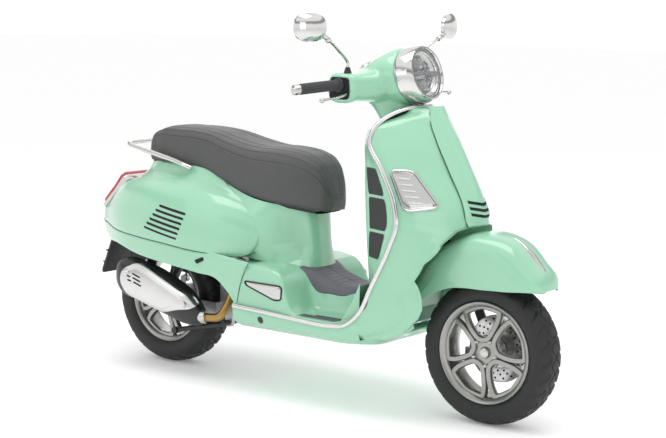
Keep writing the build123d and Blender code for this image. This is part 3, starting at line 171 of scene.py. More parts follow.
def sweep(path, profile, closed=False, up=None, scale=None):
    """A closed profile carried along a path, its frame kept from twisting, with closed ends."""
    path = np.asarray(path, float)
    if closed:
        tangent = np.roll(path, -1, 0) - np.roll(path, 1, 0)
    else:
        tangent = np.gradient(path, axis=0)
    tangent /= np.linalg.norm(tangent, axis=1)[:, None]
    if up is None:
        side = np.empty_like(path)
        guess = np.array([0, 0, 1.0]) if abs(tangent[0, 2]) < 0.9 else np.array([1.0, 0, 0])
        for k, t in enumerate(tangent):
            guess = guess - t * (guess @ t)
            guess /= np.linalg.norm(guess)
            side[k] = guess
    else:
        side = np.broadcast_to(np.asarray(up, float), path.shape)
        side = side - tangent * (side * tangent).sum(1)[:, None]
        side /= np.linalg.norm(side, axis=1)[:, None]
    across = np.cross(tangent, side)
    profile = np.asarray(profile, float)
    size = np.ones(len(path)) if scale is None else np.asarray(scale, float)
    points = path[:, None] + size[:, None, None] * (
        profile[None, :, :1] * across[:, None] + profile[None, :, 1:] * side[:, None]
    )
    if closed:
        return grid(points, wrap_u=True, wrap_v=True)
    return grid(ends_closed(points), wrap_v=True)


def tube(points, radius, count=40, n=16, closed=False, scale=None, smooth=True):
    """Round tube along a smooth line through points."""
    path = resampled(points, count, closed) if smooth else np.asarray(points, float)
    return sweep(path, circle(n, radius), closed, scale=scale)


def slab(outline, origin, ex, ey, depth, bevel=1.5):
    """A plate with a given outline and bevelled rims, its depth along ex x ey."""
    outline = np.asarray(outline, float)
    ex = np.asarray(ex, float) / np.linalg.norm(ex)
    ey = np.asarray(ey, float) / np.linalg.norm(ey)
    out = np.cross(ex, ey)
    middle = outline.mean(0)
    away = outline - middle
    inset = middle + away * (1 - bevel / np.linalg.norm(away, axis=1))[:, None]
    rows = [(inset, 0), (outline, bevel), (outline, depth - bevel), (inset, depth)]
    points = np.stack([np.asarray(origin, float) + o[:, :1] * ex + o[:, 1:] * ey + out * h for o, h in rows])
    return grid(ends_closed(points), wrap_v=True)


def ball(centre, radii, n=24):
    """An ellipsoid from its two angles."""
    u, v = np.meshgrid(np.linspace(0, np.pi, n), np.arange(2 * n) * np.pi / n, indexing="ij")
    points = stack(np.sin(u) * np.cos(v), np.sin(u) * np.sin(v), np.cos(u)) * radii + centre
    return grid(points, wrap_v=True)


def lifted(surface, u, v, height):
    """Points of a surface, moved out along its normal, which comes from nearby points."""
    e = 1e-3
    here = surface(u, v)
    du = surface(u + e, v) - surface(u - e, v)
    dv = surface(u, v + e) - surface(u, v - e)
    normal = np.cross(du, dv)
    normal /= np.maximum(np.linalg.norm(normal, axis=-1), 1e-9)[..., None]
    return here + normal * np.asarray(height)[..., None]


def make(name, parts, finish, body, stands_for=(), wall=0.0, sharp=38):
    """One piece of several parts, in metres in the frame, merged, shaded smooth and put on a body."""
    parts = parts if isinstance(parts, list) else [parts]
    finishes = finish if isinstance(finish, list) else [finish]
    verts = []
    faces = []
    kinds = []
    start = 0
    for part in parts:
        verts.append(part[0])
        faces.append(part[1] + start)
        kinds.append(np.full(len(part[1]), part[2] if len(part) > 2 else 0))
        start += len(part[0])
    points = (np.concatenate(verts) + [shift_x, 0, 0]) / 1000
    mesh = bpy.data.meshes.new(name)
    mesh.from_pydata(points.tolist(), [], np.concatenate(faces).tolist())
    mesh.polygons.foreach_set("material_index", np.concatenate(kinds))
    for one in finishes:
        mesh.materials.append(one.material)
    cleaned = bmesh.new()
    cleaned.from_mesh(mesh)
    bmesh.ops.remove_doubles(cleaned, verts=cleaned.verts, dist=2e-5)
    cleaned.to_mesh(mesh)
    cleaned.free()
    mesh.polygons.foreach_set("use_smooth", np.ones(len(mesh.polygons), bool))
    mesh.set_sharp_from_angle(angle=np.radians(sharp))
    piece = bpy.data.objects.new(name, mesh)
    bpy.context.scene.collection.objects.link(piece)
    if wall:
        solid = piece.modifiers.new("wall", "SOLIDIFY")
        solid.thickness = wall / 1000
        solid.offset = -1
    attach(piece, body)
    if stands_for:
        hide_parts(*([stands_for] if isinstance(stands_for, str) else stands_for))
    return piece


def kind(part, index):
    """The part with another of its piece's finishes."""
    return part[0], part[1], index


# Finishes -----------------------------------------------------------------------------


class Number:
    """A socket that carries a number; its operators add Math nodes."""

    def __init__(self, tree, socket):
        self.tree = tree
        self.socket = socket

    def math(self, operation, first, second=None):
        node = self.tree.nodes.new("ShaderNodeMath")
        node.operation = operation
        for socket, value in zip(node.inputs, (first, second)):
            if isinstance(value, Number):
                self.tree.links.new(value.socket, socket)
            elif value is not None:
                socket.default_value = value
        return Number(self.tree, node.outputs[0])

    def __add__(self, other):
        return self.math("ADD", self, other)

    def __sub__(self, other):
        return self.math("SUBTRACT", self, other)

    def __rsub__(self, other):
        return self.math("SUBTRACT", other, self)

    def __mul__(self, other):
        return self.math("MULTIPLY", self, other)

    def __gt__(self, other):
        return self.math("GREATER_THAN", self, other)

    __radd__ = __add__
    __rmul__ = __mul__


class Finish:
    """A material with one Principled shader, and a method that adds any other node."""

    def __init__(self, name, color, roughness, metallic=0.0, **fixed):
        self.material = bpy.data.materials.new(name)
        self.material.use_nodes = True
        self.tree = self.material.node_tree
        self.shader = self.tree.nodes["Principled BSDF"]
        self.color = (*color, 1.0)
        self.set("Base Color", self.color)
        self.set("Roughness", roughness)
        self.set("Metallic", metallic)
        for socket, value in fixed.items():
            self.set(socket.replace("_", " "), value)

    def set(self, socket, value):
        self.join(value, self.shader.inputs[socket])

    def join(self, value, socket):
        if isinstance(value, Number):
            self.tree.links.new(value.socket, socket)
        else:
            socket.default_value = value

    def node(self, kind, settings=None, inputs=None, output=0):
        made = self.tree.nodes.new("ShaderNode" + kind)
        for key, value in (settings or {}).items():
            setattr(made, key, value)
        for key, value in (inputs or {}).items():
            self.join(value, made.inputs[key])
        return Number(self.tree, made.outputs[output])

    def place(self, stretch=(1, 1, 1)):
        """Object coordinates in metres, stretched."""
        where = self.node("TexCoord", output=3)
        return self.node("Mapping", None, {"Vector": where, "Scale": stretch})

    def noise(self, scale, detail=3.0, stretch=(1, 1, 1)):
        inputs = {"Vector": self.place(stretch), "Scale": scale, "Detail": detail}
        return self.node("TexNoise", None, inputs)

    def cells(self, scale, feature="F1"):
        inputs = {"Vector": self.place(), "Scale": scale}
        return self.node("TexVoronoi", {"feature": feature}, inputs)

    def shades(self, amount, darker, lighter):
        """Colour that varies between a darker and a lighter share of the base colour."""
        low = [c * darker for c in self.color[:3]] + [1]
        high = [min(c * lighter, 1) for c in self.color[:3]] + [1]
        mixed = self.node("Mix", {"data_type": "RGBA"}, {0: amount, 6: low, 7: high}, 2)
        self.set("Base Color", mixed)
        return mixed

    def bump(self, height, distance, strength=1.0):
        inputs = {"Height": height, "Distance": distance, "Strength": strength}
        self.set("Normal", self.node("Bump", None, inputs))


def plain_metal(name, color, roughness, grain=60.0, spread=0.08, **fixed):
    """Metal whose roughness and colour vary a little over its surface."""
    made = Finish(name, color, roughness, 1.0, **fixed)
    cloud = made.noise(grain)
    made.set("Roughness", cloud * spread + (roughness - spread / 2))
    made.shades(cloud, 0.93, 1.05)
    return made


def rough_skin(name, color, roughness, scale, depth, **fixed):
    """Moulded plastic, rubber or cast metal with a fine pebbled surface."""
    made = Finish(name, color, roughness, **fixed)
    grain = made.cells(scale)
    made.bump(grain, depth, 0.6)
    cloud = made.noise(scale / 40)
    made.shades(cloud, 0.86, 1.14)
    made.set("Roughness", cloud * 0.16 + (roughness - 0.08))
    return made


mint = (0.275, 0.560, 0.385)
paint = Finish("mint_lacquer", mint, 0.34, 0.0, Coat_Weight=1.0, Coat_Roughness=0.03, Coat_IOR=1.5)
paint.shades(paint.noise(3.0, 2.0), 0.985, 1.015)
paint.bump(paint.noise(900.0, 1.0), 0.00002, 0.12)
chrome = plain_metal("bright_chrome", (0.66, 0.655, 0.645), 0.09, 40.0, 0.04)
polished = plain_metal("polished_alloy", (0.56, 0.555, 0.54), 0.18, 90.0, 0.08)
vinyl = rough_skin("seat_cover", (0.068, 0.068, 0.069), 0.46, 1400.0, 0.00025)
tread_rubber = rough_skin("tyre_rubber", (0.0105, 0.0105, 0.0115), 0.55, 700.0, 0.0003)
grip_rubber = rough_skin("grip_rubber", (0.042, 0.042, 0.046), 0.6, 900.0, 0.0002)
mat_rubber = rough_skin("mat_rubber", (0.125, 0.118, 0.140), 0.55, 800.0, 0.0003)
black_plastic = rough_skin("black_moulding", (0.018, 0.018, 0.019), 0.5, 900.0, 0.0002)
# Painted shade: a near-black fill set into slots, holes, notches and recesses, standing for the shadow inside them.
painted_gap_shade = Finish("painted_shade_fill", (0.004, 0.005, 0.005), 0.8)
painted_gap_shade.shades(painted_gap_shade.noise(30.0), 0.8, 1.2)
# Painted shade: dark mint lines along the panel joints, standing for the shadow in the gaps between panels.
seam_shade = Finish("painted_seam_shade", (0.055, 0.13, 0.085), 0.7)
seam_shade.shades(seam_shade.noise(30.0), 0.9, 1.1)
satin_black = rough_skin("silencer_black", (0.020, 0.020, 0.022), 0.38, 500.0, 0.00012)
rim_grey = plain_metal("rim_enamel", (0.33, 0.325, 0.31), 0.32, 160.0, 0.08, Coat_Weight=0.5, Coat_Roughness=0.1)
ground_steel = plain_metal("ground_steel", (0.55, 0.55, 0.55), 0.24, 220.0, 0.14)
dull_steel = plain_metal("dull_steel", (0.30, 0.30, 0.31), 0.36, 90.0, 0.14)
cast_alloy = rough_skin("cast_alloy", (0.50, 0.50, 0.51), 0.38, 420.0, 0.0005, metallic=0.9)
shield_alloy = plain_metal("heat_shield_alloy", (0.66, 0.655, 0.65), 0.30, 30.0, 0.12)
brass = plain_metal("heated_brass", (0.42, 0.26, 0.09), 0.34, 40.0, 0.14)
red_lens = Finish("red_lens", (0.42, 0.010, 0.022), 0.12, 0.0, Coat_Weight=1.0, Coat_Roughness=0.02)
red_lens.shades(red_lens.noise(60.0), 0.85, 1.1)
clear_lens = Finish("clear_lens", (0.93, 0.95, 0.96), 0.03, 0.0, Coat_Weight=1.0, Alpha=0.16)
clear_lens.shades(clear_lens.noise(20.0), 0.97, 1.03)
lamp_mirror = plain_metal("lamp_mirror", (0.52, 0.52, 0.515), 0.14, 300.0, 0.1)
lamp_smoke = plain_metal("lamp_smoke", (0.20, 0.20, 0.205), 0.22, 300.0, 0.1)
dial_black = Finish("dial_black", (0.012, 0.012, 0.014), 0.1, 0.0, Coat_Weight=1.0)
dial_black.shades(dial_black.noise(40.0), 0.8, 1.2)

# Carried-over parts: every node gets its finish; the pieces below then stand for most ----
node_finish = {
    "tread_rubber": (tread_rubber, ["front_tyre", "rear_tyre"]),
    "rim_grey": (rim_grey, ["front_rim", "rear_rim"]),
    "ground_steel": (ground_steel, ["front_disc", "front_damper_rod", "rear_damper_rods", "front_link"]),
    "dull_steel": (dull_steel, ["front_wheel_bolts", "rear_wheel_bolts", "head_tube", "engine_mount",
    "handlebar_tube"]),
    "satin_black": (
        satin_black,
        ["steering_column", "centre_stand", "side_stand", "exhaust_silencer", "front_damper_body",
         "rear_damper_bodies", "front_spring", "rear_springs"],
    ),
    "cast_alloy": (cast_alloy, ["engine_unit"]),
    "black_plastic": (black_plastic, ["seat_base", "plate_holder", "starter_button", "horn_button"]),
    "polished": (polished, ["mirror_stems", "bar_ends", "right_brake_lever", "left_brake_lever"]),
    "grip_rubber": (grip_rubber, ["throttle_grip", "left_grip"]),
    "vinyl": (vinyl, ["seat_cushion"]),
    "chrome": (
        chrome,
        ["headlight_bezel", "grab_rail", "shield_trim", "right_footpeg", "left_footpeg", "right_mirror", "left_mirror"],
    ),
}
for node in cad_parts.values():
    node.data.materials.clear()
    node.data.materials.append(paint.material)
for finish, names in node_finish.values():
    for name in names:
        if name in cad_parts:
            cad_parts[name].data.materials[0] = finish.material

# Legshield ----------------------------------------------------------------------------
shield_z = [218, 224, 247, 288, 336, 432, 570, 638, 698, 806, 900, 940, 988, 997, 1000]
shield_rows = [
    [(395, 0), (395, 80), (370, 120), (330, 145), (298, 158)],
    [(415, 0), (415, 110), (385, 150), (335, 176), (298, 184)],
    [(441, 0), (441, 140), (405, 180), (340, 212), (298, 226)],
    [(562, 0), (550, 150), (495, 198), (400, 229), (298, 241.5)],
    [(625, 0), (615, 160), (560, 200), (480, 222), (403, 235)],
    [(645, 0), (625, 160), (555, 203), (500, 218), (452, 230)],
    [(700, 0), (665, 130), (615, 178), (565, 210), (518, 226)],
    [(706, 0), (690, 75), (640, 145), (585, 198), (537, 221)],
    [(700, 0), (678, 60), (630, 128), (570, 190), (525, 215)],
    [(640, 0), (618, 60), (565, 125), (510, 180), (470, 207)],
    [(590, 0), (568, 60), (515, 120), (450, 168), (406, 188)],
    [(570, 0), (545, 60), (490, 110), (440, 145), (408, 160)],
    [(541, 0), (529, 32), (509, 50), (488, 60), (469, 65)],
    [(520, 0), (511, 26), (497, 44), (481, 57), (468, 65)],
    [(484, 0), (481, 24), (477, 40), (473, 54), (468, 65)],
]
arch_z = [200, 402, 520, 585, 622, 632, 646]
arch_half = [203, 203, 182, 142, 102, 62, 0]
dense = np.linspace(0, 1, 201)


def shield(z, t):
    """Outer skin of the legshield: rows by height, from the middle (t 0) to the trim (t 1)."""
    plan = skin(shield_z, shield_rows, z, t)
    return stack(plan[..., 0], plan[..., 1], z)


def arch_start(z):
    """Share of each row that the wheel arch takes away."""
    plan = skin(shield_z, shield_rows, z[:, None], dense[None])
    half = np.interp(z, arch_z, arch_half)
    half = np.where(z < 262, np.interp(z, [240, 250, 262], [0, 150, 203]), half)
    return np.array([np.interp(h, row, dense) for h, row in zip(half, plan[..., 1])])


z, v = uv(190, 80)
z = 218 + (1000 - 218) * z
start = arch_start(z[:, 0])[:, None]
shell = shield(z, start + (1 - start) * v)
zl = np.concatenate([np.linspace(241, 262, 14), np.linspace(264, 640, 110)])
edge = shield(zl, arch_start(zl))
axis_x = 744 - (zl - 236) * 0.4986
tip_x = np.interp(zl, [241, 262, 288, 320, 348, 377, 410, 450, 500, 640],
    [430, 486, 548, 585, 612, 624, 620, 600, 560, 300])
lead = np.maximum(tip_x - edge[:, 0], 0)
tuck = np.clip(lead / 40, 0, 1)


def well_x(y):
    """Back wall of the wheel well: a circle about the steering axis."""
    return np.maximum(axis_x - np.sqrt(np.maximum(206.0**2 - y * y, 0)), 386)


wall_y = np.minimum(edge[:, 1] - 26 * tuck, 150)
liner_rows = [
    (edge[:, 0], edge[:, 1]), (edge[:, 0] + 0.55 * lead, edge[:, 1] - 1 * tuck),
    (edge[:, 0] + 0.93 * lead, edge[:, 1] - 7 * tuck),
    (edge[:, 0] + lead - 6 * tuck, edge[:, 1] - 18 * tuck), (edge[:, 0] * 0.5 + 0.5 * np.minimum(well_x(wall_y),
    edge[:, 0]) + 0.3 * lead, (wall_y + edge[:, 1] - 26 * tuck) / 2),
    (np.minimum(well_x(wall_y), edge[:, 0] + lead), wall_y),
    (np.minimum(well_x(0.75 * wall_y), edge[:, 0]), 0.75 * wall_y),
    (np.minimum(well_x(0.4 * wall_y), edge[:, 0]), 0.4 * wall_y),
    (np.minimum(well_x(0 * wall_y), edge[:, 0]), 0 * wall_y),
]
liner_rows = np.stack([stack(*row, zl) for row in liner_rows], 1)
liner = np.einsum("tk,zkd->ztd", through(np.arange(9), np.eye(9), np.linspace(0, 8, 90)), liner_rows)
liner = grid(liner, inside=(300, 100, 450))
legshield = both([grid(shell, inside=(380, 60, 600)), liner])
trim_points = [
    (482, 0, 999), (470, 64, 996), (440, 112, 978), (410, 160, 941), (405, 189, 900), (470, 209, 806),
    (527, 217, 698), (539, 223, 638), (518, 228, 570), (452, 232, 432), (403, 237, 336), (350, 243, 297),
    (300, 244.5, 290), (150, 245, 292), (0, 245, 299), (-115, 245, 303),
]
inner_z = [425, 570, 638, 700, 806, 900, 924]
inner_rows = [
    [(440, 214), (384, 150), (384, 0)], [(495, 212), (372, 158), (372, 0)], [(514, 208), (366, 158), (366, 0)],
    [(502, 202), (361, 155), (361, 0)], [(447, 194), (356, 150), (356, 0)], [(390, 178), (352, 138), (352, 0)],
    [(388, 164), (354, 128), (354, 0)],
]
inner_full = [
    [a, np.add(np.multiply(a, 0.5), np.multiply(b, 0.5)), np.add(np.multiply(a, 0.12), np.multiply(b, 0.88)),
     (b[0] + 1, b[1] - 12), (c[0], b[1] - 45), (c[0], b[1] * 0.35), c]
    for a, b, c in inner_rows
]
z, v = uv(120, 60)
z = 425 + 499 * z
plan = skin(inner_z, inner_full, z, v)
inner = grid(stack(plan[..., 0], plan[..., 1], z), inside=(450, 60, 650))
rim_line = resampled(trim_points[:12], 90)
rim_inner = skin(inner_z, inner_full, np.clip(rim_line[:, 2], 425, 924), 0 * rim_line[:, 0])
high = np.clip((rim_line[:, 2] - 900) / 40, 0, 1)[:, None]
join_xy = rim_inner * (1 - high) + skin([0, 1], [inner_full[-1]] * 2, 0 * rim_line[:, 0],
    np.interp(rim_line[:, 2], [900, 996], [0, 1])) * high
join = stack(join_xy[:, 0], join_xy[:, 1], np.minimum(rim_line[:, 2], 924))
blend_t = np.linspace(0, 1, 10)[:, None, None]
closing = grid(rim_line[None] * (1 - blend_t) + join[None] * blend_t, inside=(460, 60, 800))
make("legshield_shell", legshield, paint, "chassis", "legshield")
make("legshield_inside", both([inner, closing]), paint, "chassis", "inner_legshield")
half_round = np.array([(7.5, 0), (6.6, 3.2), (4.2, 5.2), (0, 6.0), (-4.2, 5.2), (-6.6, 3.2), (-7.5, 0),
    (-5, -3), (5, -3)])
trim_path = resampled(np.array(trim_points + [(p[0], -p[1], p[2]) for p in trim_points[1:]])[
    np.r_[np.arange(15, 0, -1), 0, np.arange(16, 31)]], 420)
out = np.stack([0 * trim_path[:, 0] + 0.35, np.sign(trim_path[:, 1]) * np.clip(np.abs(trim_path[:, 1]) / 60, 0, 1),
                np.clip((trim_path[:, 2] - 880) / 100, 0, 1)], -1)
make("legshield_trim", sweep(trim_path, half_round, up=out), chrome, "chassis", "shield_trim")

# Horn cover with its louvres -----------------------------------------------------------
tie_z = [625, 634, 650, 675, 698, 806, 900, 960, 1003]
tie_rows = [
    [(700, 0), (699, 20), (690, 50), (686, 58)], [(722, 0), (721, 22), (706, 58), (700, 61)],
    [(726, 0), (724, 23), (702, 60), (694, 63)],
    [(727, 0), (725, 23), (697, 62), (690, 64)], [(719, 0), (715, 23), (688, 60), (682, 62)],
    [(665, 0), (658, 24), (631, 60), (625, 62)], [(613, 0), (605, 24), (579, 58), (573, 60)],
    [(579, 0), (569, 24), (549, 50), (543, 52)], [(547, 0), (545, 18), (537, 33), (531, 35)],
]


def tie(z, t):
    """Raised cover down the middle: rows by height from the middle to its edge."""
    plan = skin(tie_z, tie_rows, z, t)
    return stack(plan[..., 0], plan[..., 1], z)


z, v = uv(150, 40)
cover = grid(tie(625 + 378 * z, v), inside=(560, 0, 760))
slots = []
for height in (664, 683, 702):
    s, v = uv(10, 24, -1, 1)
    t = 0.56 * v
    zz = height + 4.6 * s + 9 * v**2
    slots.append(grid(tie(zz, t) + [1.1, 0.0, 0.0], inside=(600, 0, height)))
lips = [tube(tie(h + 6.2 + 9 * np.linspace(0, 1, 14) ** 2, 0.57 * np.linspace(0, 1, 14)) + [0.6, 0, 0], 1.7, 20, 8)
        for h in (664, 683, 702)]
make("horn_cover_shell", both([cover] + lips), paint, "chassis", "horn_cover")
# Painted shade: the louvre slots are near-black fill standing for the shadow inside them.
make("horn_cover_louvres", both(slots), painted_gap_shade, "chassis")
# Painted shade: a dark mint line along the cover's edge stands for the shadow in its joint.
edge_line = tie(np.linspace(640, 990, 60), np.ones(60)) + [-1.5, 0.6, 0]
make("horn_cover_seam", both(tube(edge_line, 0.8, 60, 8, smooth=False)), seam_shade, "chassis")

# Floor, tunnel and side walls -----------------------------------------------------------


def smooth_step(x, low, high):
    """0 below low, 1 above high, with a level start and end."""
    t = np.clip((np.asarray(x, float) - low) / (high - low), 0, 1)
    return t * t * (3 - 2 * t)


def floor_section(x, t):
    """Section of the floor at x from the tunnel's top over the board and edge to the underside."""
    rise_x = [-121, 20, 60, 90, 112, 130, 150, 172, 190, 300]
    level = through(rise_x, [446, 446, 434, 402, 352, 320, 304, 300, 300, 300], x)
    wall = np.clip((level - 300) / 146, 0, 1)
    kick = np.interp(x, [-121, 300, 330, 352, 372, 395, 400], [300, 300, 306, 338, 374, 425, 430])
    tunnel = through([-121, 60, 90, 130, 182, 221, 300, 345, 400], [446, 438, 430, 414, 398, 388, 400, 421, 438], x)
    level = np.maximum(kick, level)
    rise = np.maximum(tunnel - level, 0)
    trim_in = 1 - 0.035 * smooth_step(x, 300, 335) - 0.05 * smooth_step(x, 330, 400)
    y = [0 * x, 0 * x + 34, 0 * x + 62, 0 * x + 80, 0 * x + 90, 0 * x + 101, 0 * x + 115, 0 * x + 132, 0 * x + 160,
         0 * x + 198, 218 - 2 * wall, 228 - 1 * wall, 234 - 2 * wall, 237 - 3 * wall, 240 - 4 * wall, 240 - 1 * wall,
         240 + 0 * x, 237 + 0 * x, 228 + 0 * x, 205 + 0 * x, 160 + 0 * x, 0 * x]
    z = [level + rise, level + rise * 0.995, level + rise * 0.97, level + rise * 0.87, level + rise * 0.72,
        level + rise * 0.38,
         level + rise * 0.12, level + rise * 0.02, level, level, level - 4 * wall, level - 14 * wall, level - 28 * wall,
         level - 2 - 54 * wall, np.minimum(level - 5 - 92 * wall, 300 + 28 * wall), 292 + 8 * wall, 284 + 0 * x,
         264 + 0 * x,
         249 + 0 * x, 233 + 0 * x, 220 + 0 * x, 219 + 0 * x]
    z = [np.minimum(a, 300 + 0 * x) if k > 13 else a for k, a in enumerate(z)]
    rows = np.stack([np.stack(np.broadcast_arrays(a * trim_in, b), -1) for a, b in zip(y, z)], 1)
    weights = through(np.arange(22), np.eye(22), t * 21)
    section = np.einsum("tk,xkd->xtd", weights, rows)
    return stack(x[:, None], section[..., 0], section[..., 1])


xs = np.linspace(-121, 398, 260)
board = floor_section(xs, np.linspace(0, 1, 150))
clip = np.clip((xs - 330) / 60, 0, 1)[:, None]
board[..., 2] = np.maximum(board[..., 2], 219 + clip * 30)
rear_cap = np.stack([board[0], board[0] * [1, 0.0, 0.0] + [0, 0, 300]])
make("floor_shell", both([grid(board, inside=(140, 0, 290)), grid(rear_cap, inside=(0, 0, 300))]), paint, "chassis",
     "floor_pan")


mat_x = np.linspace(58, 346, 230)
mat_half = through([58, 90, 130, 180, 260, 320, 346], [104, 102, 98, 94, 90, 78, 62], mat_x)
board_t = np.linspace(0, 0.42, 160)
under = floor_section(mat_x, board_t)
stop = np.array([np.interp(h, row, board_t) for h, row in zip(mat_half, under[..., 1])])
share = np.linspace(0, 1, 50)
pad = np.stack([np.stack([np.interp(t * share, board_t, row[:, k]) for k in range(3)], -1) for t,
    row in zip(stop, under)])
rib = 0.7 * np.clip(np.sin(mat_x / 3.4) * 2, -1, 1)[:,
    None] * (np.abs(share - 0.4) < 0.32)[None] * (mat_x > 120)[:, None]
round_off = 1 - (share[None] ** 14) * np.ones_like(mat_x)[:, None]
ends = np.clip(np.minimum(mat_x - 57, 347 - mat_x) / 4, 0, 1)[:, None] ** 0.5
pad = pad + np.array([0, 0.35, 0.9]) * (4.2 * round_off * ends + rib * ends)[..., None]
make("tunnel_mat", both(grid(pad, inside=(200, 0, 300))), mat_rubber, "chassis", "floor_mats", wall=2.5)
strips = [slab(rounded([(lo, -2.6), (hi, -2.6), (hi, 2.6), (lo, 2.6)], 2.5), (0, y, 300), (1, 0, 0), (0, 1, 0), 3.6, 1)
          for y, lo, hi in ((184, 196, 322), (200, 150, 322), (216, 150, 322))]
make("floor_strips", both(strips), mat_rubber, "chassis")
plug = lathe([(0, 1.5), (9, 2.2), (11, 1.4), (12.5, 0.2), (12.5, -4)], (1, -237.5, 267), (0, -1, -0.25))
make("frame_plug", both(plug), grip_rubber, "chassis")

# Body under the seat, cowls and skirts --------------------------------------------------
edge_x = [-1000, -600, -500, -350, -260, -140, -60, 40, 110, 150, 200]
edge_z = [756, 756, 753, 745, 715, 675, 659, 646, 634, 630, 626]
low_x = [-450, -350, -200, -119, -60, 40, 70, 100]
low_z = [468, 468, 466, 457, 450, 438, 434, 432]
column_x = [-420, -300, -200, -119, -80, -40, -10, 15, 35, 51, 65, 74, 80, 81]
column_v = [0, 0.12, 0.3, 0.55, 0.75, 0.9, 1.0]
column_half = [
    [160, 166, 166, 160, 155, 146, 134, 120, 106, 92, 74, 52, 25, 0],
    [160, 168, 168, 163, 156, 142, 122, 99, 82, 75, 67, 50, 25, 0],
    [160, 170, 169, 166, 158, 138, 106, 78, 65, 63, 59, 46, 24, 0],
    [160, 172, 170, 166, 159, 138, 105, 77, 64, 62, 58, 45, 24, 0],
    [156, 170, 168, 164, 156, 138, 111, 88, 74, 67, 60, 46, 24, 0],
    [140, 150, 152, 152, 147, 134, 116, 98, 84, 73, 61, 44, 23, 0],
    [120, 128, 138, 143, 140, 129, 114, 99, 86, 75, 62, 45, 23, 0],
]
u, v = uv(150, 120)
along = through(np.arange(14), np.array(column_x, float), v * 13)
plan_half = through(column_v, np.array(column_half, float), u[:, 0])
half = np.stack([through(np.arange(14), row, v[0] * 13) for row in plan_half])
base = through(low_x, low_z, along)
head = through(edge_x, edge_z, along) - 8
front_lean = (14 - 22 * u) * smooth_step(along, 0, 81)
column = stack(along + front_lean, half, base + (head - base) * u)
make("seat_column", both(grid(column, inside=(-60, 0, 550))), paint, "chassis", "main_body")

u, v = uv(30, 73)
tub_z = 505 + 190 * u
tub_taper = 0.86 + 0.14 * u
corner = (np.abs(np.cos(2 * np.pi * v)) ** 3 + np.abs(np.sin(2 * np.pi * v)) ** 3) ** (-1 / 3)
tub = stack(-235 + 165 * tub_taper * corner * np.cos(2 * np.pi * v), 92 * tub_taper * corner * np.sin(2 * np.pi * v),
            tub_z - 0.16 * (-235 + 165 * corner * np.cos(2 * np.pi * v) + 235) * u)
tub = np.concatenate([np.broadcast_to(tub[0].mean(0), tub[0].shape)[None], tub])
make("helmet_tub", grid(tub[:, :-1], wrap_v=True, inside=(-235, 0, 600)), black_plastic, "chassis", "storage_tub",
     wall=2.5)

cowl_x = [-938, -925, -872, -750, -600, -450, -300, -200, -120, -84, -60]
cowl_rows = [
    [516, 530, 40], [507, 548, 55], [500, 586, 90], [492, 664, 165], [488, 700, 215], [482, 702, 240], [470, 690, 239],
    [466, 668, 224], [466, 632, 192], [480, 600, 166], [490, 580, 150],
]
swell_g = [0, 0.265, 0.54, 0.77, 0.9, 0.97]
swell_f = [0.995, 1.01, 0.99, 0.925, 0.83, 0.73]
seat_half_x = [-938, -700, -668, -650, -600, -500, -350, -260, -200, -140, -60]
seat_half = [0, 0, 40, 70, 104, 120, 124, 134, 140, 142, 140]
tail_x = [-940, -934, -850, -750, -660, -640]
tail_z = [524, 532, 610, 700, 738, 744]


def side_y(x, z):
    """Half width of the cowl's swelling at a place along and up."""
    low, high, half = np.moveaxis(through(cowl_x, cowl_rows, x), -1, 0)
    return half * np.interp((z - low) / (high - low), swell_g, swell_f)


def outline_at(y, z, t):
    """Coordinates at a share of the way along an outline given by its points."""
    rows = np.stack([np.stack([a, b], -1) for a, b in zip(y, z)], -2)
    last = len(y) - 1
    weights = through(np.arange(last + 1), np.eye(last + 1), t * last)
    return np.moveaxis(np.einsum("...k,...kd->...d", weights, rows), -1, 0)


def cowl(x, t):
    """Section of a side cowl at x: up the side, over the crown and in to the seat or the tail's ridge."""
    low, high, half = np.moveaxis(through(cowl_x, cowl_rows, x), -1, 0)
    inner_y = np.interp(x, seat_half_x, seat_half)
    inner_z = np.where(x > -655, through(edge_x, edge_z, x) - 4, np.interp(x, tail_x, tail_z))
    inner_z = np.maximum(inner_z, high + 2)
    span = high - low
    crown_y = 0.73 * half
    y = [half * 0.995, half * 1.008, half * 1.01, half * 0.99, half * 0.925, half * 0.83, crown_y,
         np.maximum(crown_y - 0.62 * (crown_y - inner_y), inner_y), inner_y]
    z = [low, low + 0.12 * span, low + 0.265 * span, low + 0.54 * span, low + 0.77 * span, low + 0.9 * span,
         low + 0.97 * span, low + 0.97 * span + 0.42 * (inner_z - low - 0.97 * span), inner_z]
    return stack(x, *outline_at(y, z, t))


u, v = uv(220, 110)
front_x = through([0, 0.2, 0.4, 0.6, 0.75, 0.88, 1.0], [-108, -88, -78, -84, -130, -205, -262], v)
reach = -938 + (front_x + 938) * u
side = cowl(reach, v)
turned = [side]
last = side[-1:]
for forward, inward in ((4, 5), (6, 12), (5, 22), (1, 34), (-6, 48)):
    turned.append(last + [forward, 0, 0] - [0, inward, 0])
side = np.concatenate(turned)
tail_cap = np.stack([side[0], side[0] * [1, 0, 1]])
cowl_part = [grid(side, inside=(-480, 60, 600)), grid(tail_cap, inside=(-700, 0, 540))]
make("right_cowl_shell", [mirrored(p) for p in cowl_part], paint, "chassis", "right_cowl")
make("left_cowl_shell", cowl_part, paint, "chassis", "left_cowl")

skirt_x = [-938, -872, -750, -600, -450, -300, -200, -150, -121, -106, -90, -64]
skirt_rows = [
    [478, 512, 44], [445, 500, 90], [440, 492, 165], [420, 488, 214], [408, 482, 238], [392, 470, 237],
    [376, 466, 234], [338, 461, 234], [312, 458, 235], [316, 456, 235.5], [384, 454, 235.5], [440, 452, 234],
]


def skirt(x, t):
    """Section of the lower skirt at x: down from the seam, round its lower edge and back inside."""
    low, high, half = np.moveaxis(through(skirt_x, skirt_rows, x), -1, 0)
    y = [half - 6, half - 1.5, half, half * 0.995, half * 0.985, half - 7, half - 16, half - 26]
    z = [high + 3, high - 3, high - 10, high - 0.4 * (high - low), low + 9, low + 1, low + 3, low + 16]
    return stack(x, *outline_at(y, z, t))


